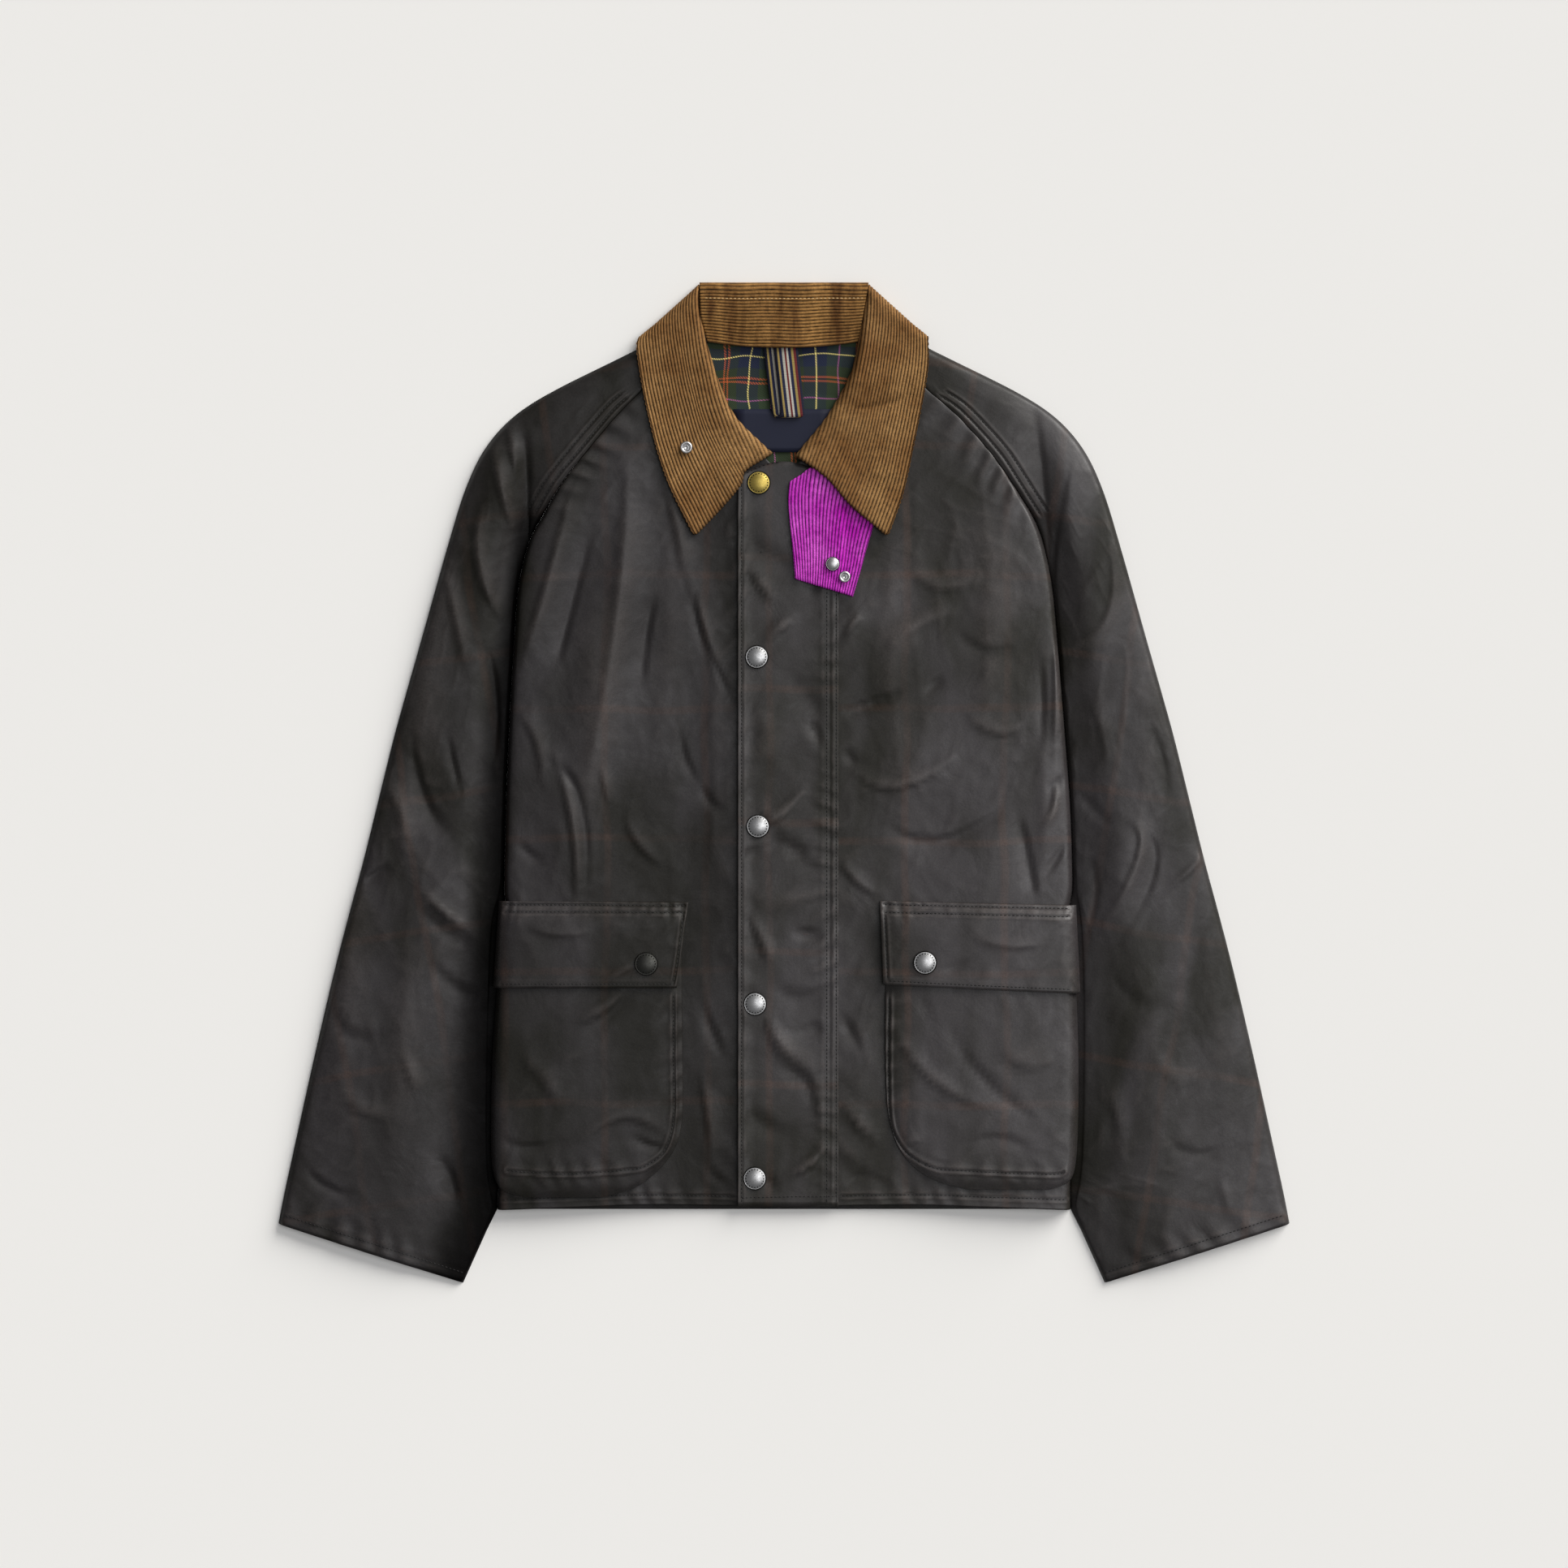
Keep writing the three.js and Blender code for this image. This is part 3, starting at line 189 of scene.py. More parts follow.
# Creases of each panel in millimetres: start, middle and end, then how far one spreads and its height.
CREASE_COLUMNS = ("x1", "y1", "x2", "y2", "x3", "y3", "spread", "height")
CREASES = {
    "right_front": (
        (-152, 160, -150, 60, -158, -60, 15, 1.5),
        (-95, 230, -90, 120, -100, 0, 13, 1.1),
        (-60, 120, -54, 0, -58, -80, 9, 0.9),
        (-123, 253, -130, 145, -153, 8, 8, 2.4),
        (-153, 191, -171, 123, -176, 100, 5, -2.2),
        (-169, 225, -187, 157, -205, 100, 6, 2.2),
        (-102, 145, -107, 123, -112, 82, 5, -2),
        (-75, 161, -61, 111, -52, 77, 5, 2.2),
        (-70, 152, -63, 116, -41, 68, 3, -2.4),
        (-178, 17, -170, 7, -162, -3, 3.4, -2),
        (-144, 11, -141, -1, -138, -15, 3.4, 1.8),
        (-64, -3, -58, -13, -48, -19, 3.4, -2),
        (-208, -47, -199, -55, -189, -60, 3.4, -1.8),
        (-180, 20, -166, -35, -164, -89, 5, 2.4),
        (-171, 14, -157, -30, -156, -84, 4, -1.6),
        (-93, 234, -83, 196, -79, 167, 6, 2),
        (-82, 42, -77, 20, -69, 4, 3.4, -1.6),
        (-124, -28, -113, -49, -95, -64, 5, 1.6),
        (-63, -175, -55, -198, -44, -214, 3.4, -1.8),
        (-67, -233, -60, -260, -58, -291, 4, 1.8),
        (-60, -303, -52, -311, -41, -317, 3, -1.6),
        (-209, 55, -195, 33, -191, 4, 5, 1.8),
    ),
    "left_front": (
        (150, 230, 165, 140, 160, 40, 16, 1.5),
        (95, 200, 84, 100, 100, -60, 14, 1.1),
        (200, 60, 206, -20, 200, -90, 9, 1.1),
        (47, 57, 68, 64, 93, 74, 4, -2.2),
        (59, 6, 93, -1, 138, 23, 4, 2.2),
        (86, -35, 124, -44, 172, -19, 4.4, -2.4),
        (110, 74, 118, 79, 125, 84, 3.4, -1.8),
        (49, 26, 53, 21, 59, 16, 3, -1.8),
        (206, -1, 214, 1, 221, 6, 3, -1.8),
        (213, -3, 212, -19, 205, -30, 3, 2.4),
        (186, -27, 193, -60, 198, -89, 5, -2.2),
        (205, -73, 214, -61, 221, -49, 3.4, -1.8),
        (213, 119, 214, 74, 213, 33, 5, 1.8),
        (203, 93, 204, 63, 203, 33, 4, -1.8),
        (45, -63, 58, -77, 74, -88, 4.4, 1.8),
        (62, 134, 54, 127, 47, 115, 3.4, 2),
        (46, -182, 54, -196, 61, -209, 4, -1.8),
        (46, -252, 61, -270, 76, -282, 4, 1.8),
        (48, -320, 61, -308, 82, -316, 3.4, -1.6),
        (99, 170, 127, 156, 157, 167, 7, 1.6),
        (137, 119, 159, 106, 183, 109, 5, -1.6),
        (83, 106, 105, 125, 134, 137, 7, 1.8),
        (143, 55, 169, 41, 189, 49, 5, 1.6),
    ),
    "storm_flap": (
        (37, 241, 37, -40, 37, -328, 1.5, -0.7),
        (-13, -38, 11, -52, 33, -65, 4, -1.3),
        (2, 86, 20, 66, 31, 38, 10, -0.9),
        (-12, -198, 5, -212, 31, -236, 8, 0.9),
        (-2, -222, 16, -232, 33, -252, 5, -1.2),
        (-8, -158, 12, -169, 33, -159, 7, -1.1),
        (-26, 62, -14, 40, -22, 12, 9, 0.8),
        (-30, 197, -15, 182, 8, 171, 8, -1),
        (-28, -256, -12, -270, 10, -276, 7, -0.9),
        (-24, -84, -4, -92, 28, -86, 8, 0.7),
        (-12, 113, -1, 124, 10, 128, 4, 1.6),
        (-19, -20, -5, -26, 17, -4, 3, 1.9),
        (-33, -56, -18, -52, -3, -47, 3.4, -1.4),
        (14, -58, 22, -61, 30, -65, 3, 1.6),
        (20, 49, 26, 41, 30, 33, 3, -1.5),
        (8, -116, 19, -118, 31, -119, 3, -1.4),
        (-14, -184, -6, -202, 5, -215, 4, 1.6),
        (8, -193, 19, -193, 31, -191, 3, -1.5),
        (3, -308, 19, -301, 33, -287, 3, 1.8),
        (-12, -310, -9, -316, -4, -320, 3, -1.4),
        (-29, 170, -18, 157, -9, 143, 4, 1.4),
        (15, 209, 22, 177, 24, 145, 6, -1.3),
        (-28, -105, -17, -124, -12, -143, 4, 1.4),
        (19, -233, 26, -246, 28, -265, 4, 1.3),
    ),
    "right_sleeve": (
        (-262, 200, -282, 80, -300, -60, 14, 1.5),
        (-330, -60, -345, -150, -350, -280, 12, 1.3),
        (-290, -110, -300, -200, -310, -320, 12, 1.1),
        (-205, 281, -202, 234, -205, 173, 5, -2.4),
        (-230, 267, -223, 234, -213, 198, 6, 2.4),
        (-219, 285, -214, 262, -211, 240, 4, 1.8),
        (-235, 224, -241, 177, -221, 128, 6, 2.4),
        (-292, 36, -284, -8, -264, -38, 6, -2.4),
        (-264, 36, -260, 15, -255, -3, 3, -1.8),
        (-284, -86, -264, -105, -244, -118, 3.4, 2.6),
        (-288, -96, -266, -116, -246, -128, 4, -1.6),
        (-333, -77, -323, -71, -313, -63, 5, -1.8),
        (-356, -175, -339, -198, -313, -195, 4, -2.2),
        (-301, -215, -295, -228, -290, -241, 5, 2),
        (-268, 170, -259, 132, -251, 93, 6, 1.8),
        (-279, -137, -260, -159, -241, -166, 5, -1.8),
        (-349, -243, -333, -257, -311, -260, 5, 1.8),
        (-275, -291, -262, -311, -259, -335, 5, -1.6),
        (-317, 4, -303, -22, -301, -47, 6, 1.8),
        (-234, 106, -227, 68, -228, 23, 5, -1.8),
        (-375, -303, -361, -317, -339, -323, 3.4, -1.6),
    ),
    "left_sleeve": (
        (265, 180, 285, 60, 300, -60, 14, 1.5),
        (330, -80, 340, -180, 355, -290, 12, 1.3),
        (275, -90, 290, -200, 300, -320, 13, 1.1),
        (197, 303, 205, 241, 211, 167, 5, -2.2),
        (228, 263, 213, 177, 217, 124, 5, -2.2),
        (256, 193, 255, 132, 217, 104, 6, 2.4),
        (270, -29, 280, -55, 248, -118, 5, 2.8),
        (284, -36, 292, -70, 262, -126, 4, -1.8),
        (233, -9, 247, -20, 259, -35, 5, -2),
        (305, -81, 319, -70, 330, -58, 3.4, 2),
        (342, -309, 347, -324, 350, -338, 3.4, 1.8),
        (239, 68, 251, 42, 253, 12, 6, 1.8),
        (284, 55, 298, 23, 301, -9, 6, -1.6),
        (260, -150, 278, -170, 303, -173, 5, -1.9),
        (291, -214, 311, -233, 342, -230, 5, 1.8),
        (252, -233, 262, -260, 265, -291, 5, 1.7),
        (303, -278, 323, -291, 348, -284, 4, -1.6),
        (243, -60, 247, -86, 239, -118, 4, -2),
    ),
    "right_pocket": (
        (-167, -188, -143, -178, -121, -162, 4, 1.8),
        (-152, -193, -137, -179, -124, -164, 3, -1.6),
        (-158, -280, -125, -262, -93, -277, 4, 1.8),
        (-121, -275, -106, -284, -92, -285, 3, -1.8),
        (-209, -214, -188, -233, -177, -260, 6, 1.5),
        (-221, -278, -202, -285, -177, -280, 4, -1.3),
    ),
    "left_pocket": (
        (84, -191, 118, -233, 163, -255, 4, 2),
        (132, -193, 159, -233, 197, -262, 3.4, -1.8),
        (94, -284, 101, -282, 108, -280, 3.4, 1.5),
        (108, -169, 112, -175, 116, -182, 3.4, -1.5),
        (169, -207, 191, -220, 214, -214, 6, 1.4),
        (143, -284, 169, -278, 195, -289, 5, -1.3),
    ),
    "right_pocket_flap": (
        (-138, -154, -127, -148, -117, -141, 3.4, 1.4),
        (-202, -111, -177, -118, -151, -115, 6, 1.2),
    ),
    "left_pocket_flap": (
        (150, -118, 175, -127, 207, -124, 6, 1.3),
        (124, -147, 134, -143, 143, -137, 3.4, -1.2),
    ),
    "left_collar_leaf": (
        (43, 298, 74, 298, 110, 311, 6, -1.8),
        (48, 314, 76, 318, 110, 332, 9, 1.6),
        (60, 250, 76, 244, 96, 250, 8, 1.2),
    ),
    "right_collar_leaf": (
        (-112, 300, -96, 292, -70, 300, 9, -1),
        (-60, 262, -70, 240, -84, 226, 8, 1),
    ),
}
CREASE_STEPS = 28
CREASE_STRENGTH = {"storm_flap": 1.7, "left_sleeve": 0.62, "right_sleeve": 1.15, "left_pocket": 0.85}

# Puckers where rows of stitching have drawn the cloth in: panels, the ends of the row in millimetres, the
# length of a pucker, how far it reaches from the row and its height.
PUCKER_COLUMNS = ("on", "x1", "y1", "x2", "y2", "length", "reach", "height")
PUCKERS = (
    ("right_front", -39, 240, -39, -330, 33, 15, 0.5),
    ("left_front", 46, 240, 46, -330, 29, 15, 0.45),
    ("storm_flap", -33, 240, -33, -330, 23, 14, 0.45),
    ("storm_flap", 34, 240, 34, -330, 15, 14, 0.9),
    ("right_pocket_flap", -76, -98, -226, -98, 8.5, 9, 0.7),
    ("left_pocket_flap", 76, -98, 230, -100, 9.5, 9, 0.6),
    ("right_front", -50, -325, -220, -326, 17, 10, 0.45),
    ("left_front", 50, -325, 220, -326, 19, 10, 0.4),
    ("right_sleeve", -393, -340, -253, -386, 21, 13, 0.6),
    ("left_sleeve", 393, -340, 253, -386, 23, 13, 0.6),
    ("right_front", -120, 300, -194, 208, 18, 14, 0.8),
    ("left_front", 120, 300, 199, 208, 20, 14, 0.8),
    ("right_pocket", -84, -170, -84, -270, 19, 12, 0.7),
    ("left_pocket", 84, -170, 84, -266, 17, 12, 0.7),
    ("right_pocket", -112, -304, -210, -306, 17, 10, 0.6),
    ("left_pocket", 116, -302, 214, -306, 19, 10, 0.35),
)


def smooth_share(value, start, end):
    share = np.clip((value - start) / (end - start), 0, 1)
    return share * share * (3 - 2 * share)


def crease_height(points, panel):
    """Height in metres that a panel's creases give at each point, with ends that die out. A narrow crease
    breaks sharply on the side that is turned from the light and slopes softly on the other."""
    total = np.zeros(len(points))
    along = np.linspace(0, 1, CREASE_STEPS)[:, None]
    for row in CREASES.get(panel, ()):
        crease = dict(zip(CREASE_COLUMNS, row))
        start, middle, end = (np.array((crease[f"x{i}"], crease[f"y{i}"])) * MM for i in (1, 2, 3))
        spread = crease["spread"] * MM
        corners = np.array((start, middle, end))
        low = corners.min(0) - 4 * spread
        high = corners.max(0) + 4 * spread
        near = np.flatnonzero(((points[:, :2] > low) & (points[:, :2] < high)).all(1))
        control = 2 * middle - (start + end) / 2
        curve = (1 - along) ** 2 * start + 2 * along * (1 - along) * control + along ** 2 * end
        tangent = np.gradient(curve, axis=0)
        step = np.linalg.norm(tangent, axis=1)
        tangent /= step[:, None]
        nearest = np.linalg.norm(points[near, None, :2] - curve[None], axis=2).argmin(1)
        offset = points[near, :2] - curve[nearest]
        tangent = tangent[nearest]
        side = tangent[:, 0] * offset[:, 1] - tangent[:, 1] * offset[:, 0]
        overrun = np.maximum(np.abs((offset * tangent).sum(1)) - step[nearest] / 2, 0)
        distance = np.hypot(side, overrun)
        taper = np.sin(np.pi * np.clip(along[nearest, 0] * 0.94 + 0.03, 0, 1)) ** 0.8
        lit = (end - start)[0] * KEY_SIDE[1] - (end - start)[1] * KEY_SIDE[0]
        steep = np.interp(crease["spread"], (5, 12), (0.4, 0.95))
        reach = np.where(side * lit * crease["height"] > 0, spread * 1.25, spread * steep)
        total[near] += crease["height"] * MM * taper * np.exp(-(distance / reach) ** 1.6)
    return total * CREASE_STRENGTH.get(panel, 1)


def pucker_height(points, panel):
    """Height that the stitching's puckers give, uneven along each row and dying out away from it."""
    total = np.zeros(len(points))
    for row in PUCKERS:
        pucker = dict(zip(PUCKER_COLUMNS, row))
        if pucker["on"] != panel:
            continue
        start, end = (np.array((pucker[f"x{i}"], pucker[f"y{i}"])) * MM for i in (1, 2))
        direction = (end - start) / np.linalg.norm(end - start)
        place = points[:, :2] - start
        along = place @ direction / MM
        away = (place @ np.array((-direction[1], direction[0]))) / MM
        length = pucker["length"]
        phase = along / length + 0.35 * np.sin(along / (2.7 * length)) + 0.25 * np.sin(along / (0.9 * length) + 2)
        phase += 0.03 * away * np.sin(along / (3.3 * length))
        strength = 0.55 + 0.45 * np.sin(along / (4.1 * length) + 1) * np.sin(along / (1.7 * length))
        fade = np.exp(-(away / pucker["reach"]) ** 2)
        total += pucker["height"] * MM * strength * fade * np.sin(2 * math.pi * phase)
    return total


def crumple_height(points, seed):
    """Small crumples of stiff waxed cloth: faint ridges in crossing directions, from 0 to about 1."""
    x, y = points[:, 0] / MM, points[:, 1] / MM
    total = np.zeros(len(points))
    for i in range(8):
        angle = 0.9 * i + 0.37 * seed
        length = 34 + 15 * i
        along = x * math.cos(angle) + y * math.sin(angle)
        across = -x * math.sin(angle) + y * math.cos(angle)
        bend = 1.7 * np.sin(across / (0.31 * length) + 1.3 * seed + i) + 1.1 * np.sin(across / (0.13 * length) + i)
        wave = np.sin(2 * math.pi * along / length + bend + 2.1 * i + seed)
        presence = 0.5 + 0.5 * np.sin(across / (0.9 * length) + along / (1.3 * length) + 3.3 * i + seed)
        total += presence ** 1.5 * (1 - np.abs(wave)) ** 3
    return total / 2.4


def read_points(mesh):
    points = np.empty(len(mesh.vertices) * 3)
    mesh.vertices.foreach_get("co", points)
    return points.reshape(-1, 3)


def write_points(mesh, points):
    mesh.vertices.foreach_set("co", points.ravel())
    mesh.update()


def refined_copy(node, name, levels):
    """A CAD node's wall as smooth quads. Its rims and corners stay where they are."""
    bm = bmesh.new()
    bm.from_mesh(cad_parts[node].data)
    bmesh.ops.remove_doubles(bm, verts=bm.verts, dist=0.02 * MM)
    bmesh.ops.join_triangles(bm, faces=bm.faces, angle_face_threshold=1.2, angle_shape_threshold=1.6)
    held = bm.edges.layers.float.new("crease_edge")
    for edge in bm.edges:
        rim = len(edge.link_faces) == 2 and edge.calc_face_angle() > math.radians(55)
        edge[held] = 1.0 if rim else 0.0
    mesh = bpy.data.meshes.new(name)
    bm.to_mesh(mesh)
    bm.free()
    piece = link_mesh(name, mesh)
    smoothing = piece.modifiers.new("smooth cloth", "SUBSURF")
    smoothing.levels = levels
    smoothing.render_levels = levels
    bpy.context.view_layer.update()
    evaluated = piece.evaluated_get(bpy.context.evaluated_depsgraph_get())
    piece.data = bpy.data.meshes.new_from_object(evaluated)
    piece.modifiers.clear()
    piece.data.materials.clear()
    piece.data.shade_smooth()
    return piece


def write_attribute(mesh, name, values):
    attribute = mesh.attributes.new(name, "FLOAT", "POINT")
    attribute.data.foreach_set("value", np.asarray(values, np.float32).ravel())


def cloth_panel(node, name, creased_as, seed, levels=PANEL_LEVELS):
    """Refined wall of a node with its creases, puckers and crumples. Two attributes say where the cloth
    stands proud and has rubbed pale, and where it lies low, which the material darkens as painted shade."""
    piece = refined_copy(node, name, levels)
    points = read_points(piece.data)
    # Mask for painted shade: 1 where the cloth lies low, fading out by 8 mm above the table.
    low_lying = 1 - smooth_share(points[:, 2], 3.6 * MM, 8 * MM)
    creases = crease_height(points, creased_as)
    puckers = pucker_height(points, creased_as)
    crumples = crumple_height(points, seed)
    above_table = smooth_share(points[:, 2], 1 * MM, 4 * MM)
    points[:, 2] += (creases + puckers + CRUMPLE_HEIGHT * crumples) * above_table
    write_points(piece.data, points)
    proud = creases / (2.4 * MM) + puckers / (1.2 * MM) + 0.5 * crumples - 0.25
    write_attribute(piece.data, "proud", np.clip(0.5 + 0.5 * proud, 0, 1))
    write_attribute(piece.data, "low_lying", low_lying)
    return piece


def waxed_cotton(name, turn, check_start, tone, sunk_tone=0.5):
    """Waxed cotton: a fine dense weave under a skin of wax, so it is dark and satin, with mottled gloss,
    paler where folds stand proud and have rubbed, and a faint woven windowpane of thin brown lines.
    Colour and gloss are scaled by a tone, and darkened further where the cloth lies low, as painted shade."""
    material, tree, shader = new_material(name)
    place = add_node(tree, "ShaderNodeTexCoord").outputs["Object"]
    turned = add_node(tree, "ShaderNodeMapping", {"Vector": place, "Rotation": (0, 0, turn)}).outputs["Vector"]
    split = add_node(tree, "ShaderNodeSeparateXYZ", {"Vector": turned})
    wander = noise(tree, turned, 9.0, 1.0)
    lines = []
    for axis, pitch, start in zip("XY", CHECK_PITCH, check_start):
        moved = maths(tree, "MULTIPLY_ADD", wander, 0.012, -start - 0.006)
        shifted = add_node(tree, "ShaderNodeMath", {0: split.outputs[axis], 1: moved}).outputs[0]
        folded = maths(tree, "PINGPONG", shifted, pitch / 2)
        line = add_node(tree, "ShaderNodeMapRange", {
            "Value": folded, "From Min": CHECK_LINE, "From Max": CHECK_LINE * 0.3, "To Min": 0.0, "To Max": 1.0,
        }, interpolation_type="SMOOTHSTEP").outputs["Result"]
        lines.append(line)
    grid = maths(tree, "MAXIMUM", lines[0], lines[1])
    crossings = maths(tree, "MULTIPLY", lines[0], lines[1])
    blotches = noise(tree, place, 15.0, 5.0, 0.62, 0.5)
    drawn = add_node(tree, "ShaderNodeMapping", {"Vector": turned, "Scale": (1.0, 0.4, 1.0)}).outputs["Vector"]
    zones = noise(tree, drawn, 13.0, 2.0, 0.5, 0.7)
    grain = noise(tree, place, 620.0, 2.0, 0.6)
    streaks = noise(tree, turned, 62.0, 5.0, 0.7, 1.2)
    mottled = maths(tree, "MULTIPLY_ADD", blotches, 0.35, -0.175)
    mixed = maths(tree, "ADD", zones, mottled)
    spread = remap(tree, mixed, (0.36, 0.64), (0.0, 1.0))
    base = blend(tree, spread, linear(WAX_DARK), linear(WAX_MID))
    proud = add_node(tree, "ShaderNodeAttribute", attribute_name="proud").outputs["Fac"]
    rubbed = remap(tree, proud, (0.5, 1.0), (0.0, 0.85))
    patchy = maths(tree, "MULTIPLY", rubbed, streaks)
    worn = blend(tree, patchy, base, linear(WAX_WORN))
    faded = maths(tree, "ADD", grid, crossings)
    seen = remap(tree, blotches, (0.42, 0.62), (0.25, 1.0))
    patched = maths(tree, "MULTIPLY", faded, seen)
    faint = maths(tree, "MULTIPLY", patched, 0.17)
    checked = blend(tree, faint, worn, linear(OVERCHECK))
    low_lying = add_node(tree, "ShaderNodeAttribute", attribute_name="low_lying").outputs["Fac"]
    speck = remap(tree, grain, (0.3, 0.7), (0.8, 1.2))
    # Painted shade: colour and gloss fall from the tone to sunk_tone times it where the cloth lies low.
    painted_shade = remap(tree, low_lying, (0.0, 1.0), (tone, sunk_tone * tone))
    shade = maths(tree, "MULTIPLY", speck, painted_shade)
    grained = add_node(tree, "ShaderNodeVectorMath", {0: checked, "Scale": shade}, operation="SCALE").outputs[0]
    tree.links.new(grained, shader.inputs["Base Color"])
    gloss = remap(tree, streaks, (0.3, 0.7), (0.4, 0.58))
    tree.links.new(gloss, shader.inputs["Roughness"])
    waxy = add_node(tree, "ShaderNodeMapRange", {"Value": spread, "To Min": 0.34, "To Max": 0.6}).outputs["Result"]
    gloss_with_painted_shade = maths(tree, "MULTIPLY", painted_shade, waxy)
    tree.links.new(gloss_with_painted_shade, shader.inputs["Specular IOR Level"])
    cockle = noise(tree, place, 30.0, 3.0, 0.5, 1.0)
    coarse = add_node(tree, "ShaderNodeBump", {
        "Height": cockle, "Strength": 0.4, "Distance": 1.2 * MM,
    }).outputs["Normal"]
    fine = add_node(tree, "ShaderNodeBump", {
        "Height": grain, "Strength": 0.4, "Distance": 0.12 * MM, "Normal": coarse,
    }).outputs["Normal"]
    tree.links.new(fine, shader.inputs["Normal"])
    return material


def close_seam(piece, neighbour, reach):
    """Draws the low edge of a piece in against its neighbour, so that no table shows between them."""
    surface = face_tree(neighbour.data)
    points = read_points(piece.data)
    for i in np.flatnonzero(points[:, 2] < 4 * MM):
        nearest, _, _, distance = surface.find_nearest(Vector(points[i]), reach)
        if nearest and distance > 0.1 * MM:
            pull = (1 - smooth_share(points[i, 2], 0.6 * MM, 3.6 * MM)) * (distance - 0.1 * MM) / distance
            points[i, 0] += pull * (nearest.x - points[i, 0])
            points[i, 1] += pull * (nearest.y - points[i, 1])
    write_points(piece.data, points)


def face_tree(*meshes):
    """Faces of some meshes, to find where a straight line meets them."""
    points, faces = [], []
    for mesh in meshes:
        offset = len(points)
        points += [tuple(vertex.co) for vertex in mesh.vertices]
        faces += [[offset + i for i in polygon.vertices] for polygon in mesh.polygons]
    return BVHTree.FromPolygons(points, faces)


def finish_piece(piece, node, material):
    """Gives a piece its material and body, in place of its node."""
    piece.data.materials.append(material)
    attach(piece, "root")
    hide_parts(node)
    return piece


SLEEVE_TURN = {"right": math.radians(-9), "left": math.radians(9)}
# Painted shade by side: each side's cloth is scaled by a tone, and by a lower one where it lies low. The wearer's
# right, away from the key light, is made much darker.
SUNK_PAINTED_SHADE = {"right": 0.12, "left": 0.6}
PANEL_PAINTED_SHADE = {"right": 0.57, "left": 0.95}  # painted shade: the wearer's right is made darker than the left
SLEEVE_PAINTED_SHADE = {"right": 0.58, "left": 0.84}
cloth_body = {
    side: waxed_cotton(f"waxed_cotton_satin_{side}", 0.0, (-0.062, 0.060), PANEL_PAINTED_SHADE[side])
    for side in PANEL_PAINTED_SHADE
}
cloth_sleeve = {
    side: waxed_cotton(f"waxed_cotton_satin_{side}_sleeve", turn, (0.018, 0.034), SLEEVE_PAINTED_SHADE[side],
                       SUNK_PAINTED_SHADE[side])
    for side, turn in SLEEVE_TURN.items()
}
panels = {}
panels["back_panel"] = finish_piece(
    cloth_panel("back_panel", "jacket_back", "back", 5, 4), "back_panel", cloth_body["left"])
for side in ("right", "left"):
    seed = 1 if side == "right" else 2
    panels[f"{side}_front"] = finish_piece(
        cloth_panel(f"{side}_front", f"jacket_{side}_front", f"{side}_front", seed),
        f"{side}_front", cloth_body[side])
    panels[f"{side}_sleeve_front"] = finish_piece(
        cloth_panel(f"{side}_sleeve_front", f"jacket_{side}_sleeve_upper", f"{side}_sleeve", seed + 2),
        f"{side}_sleeve_front", cloth_sleeve[side])
    panels[f"{side}_sleeve_back"] = finish_piece(
        cloth_panel(f"{side}_sleeve_back", f"jacket_{side}_sleeve_under", "back", seed + 4),
        f"{side}_sleeve_back", cloth_sleeve[side])


# Storm flap and pockets
# The flap is a topstitched double strip over the zip, open down the wearer's right. The pockets are patch
# pockets with bellows sides, each under its own flap.
panels["storm_flap"] = finish_piece(
    cloth_panel("storm_flap", "jacket_storm_flap", "storm_flap", 7), "storm_flap",
    waxed_cotton("waxed_cotton_satin_flap", 0.0, (-0.012, 0.075), 0.82))
FREE_EDGE_LIFT = 1.5 * MM
SEWN_EDGE_PRESS = 0.8 * MM
points = read_points(panels["storm_flap"].data)
points[:, 2] += FREE_EDGE_LIFT * (1 - smooth_share(points[:, 0], -36.5 * MM, -24 * MM))
points[:, 2] -= SEWN_EDGE_PRESS * smooth_share(points[:, 0], 38.5 * MM, 41 * MM)
write_points(panels["storm_flap"].data, points)
for side in ("right", "left"):
    for part in ("pocket", "pocket_flap"):
        node = f"{side}_{part}"
        panels[node] = finish_piece(
            cloth_panel(node, f"jacket_{node}", node, 8 if part == "pocket" else 9),
            node, cloth_body[side])
    close_seam(panels[f"{side}_sleeve_front"], panels[f"{side}_front"], 18 * MM)


# Neck lining, label and hanger loop
# Light checked cotton, seen only inside the neck, with a plain satin label sewn across it and a loop of
# striped webbing that hangs from the neck seam, folded double.
CHECK_SETT = 0.052
LINING_BANDS = (("#2b3423", 0.0), ("#a8532c", 0.19), ("#222a1b", 0.22), ("#a8532c", 0.25), ("#2b3423", 0.28),
                ("#20263a", 0.42), ("#f0dd8a", 0.6), ("#20263a", 0.625), ("#303d2a", 0.76), ("#a4608a", 0.93),
                ("#303d2a", 0.955))
LOOP_STRIPES = (("#181a29", 0.0), ("#94804a", 0.12), ("#20233a", 0.2), ("#a9a598", 0.32), ("#5f2426", 0.42),
                ("#b3afa4", 0.5), ("#20233a", 0.58), ("#94804a", 0.7), ("#5f2426", 0.8), ("#181a29", 0.9))
LOOP_WIDTH = 19 * MM
NAVY = "#14182b"


def banded(tree, value, bands):
    """Colour of sharp bands along a value from 0 to 1."""
    ramp = add_node(tree, "ShaderNodeValToRGB", {"Fac": value})
    ramp.color_ramp.interpolation = "CONSTANT"
    for i, (colour, start) in enumerate(bands):
        stop = ramp.color_ramp.elements[i] if i < 2 else ramp.color_ramp.elements.new(start)
        stop.position = start
        stop.color = linear(colour)
    return ramp.outputs["Color"]


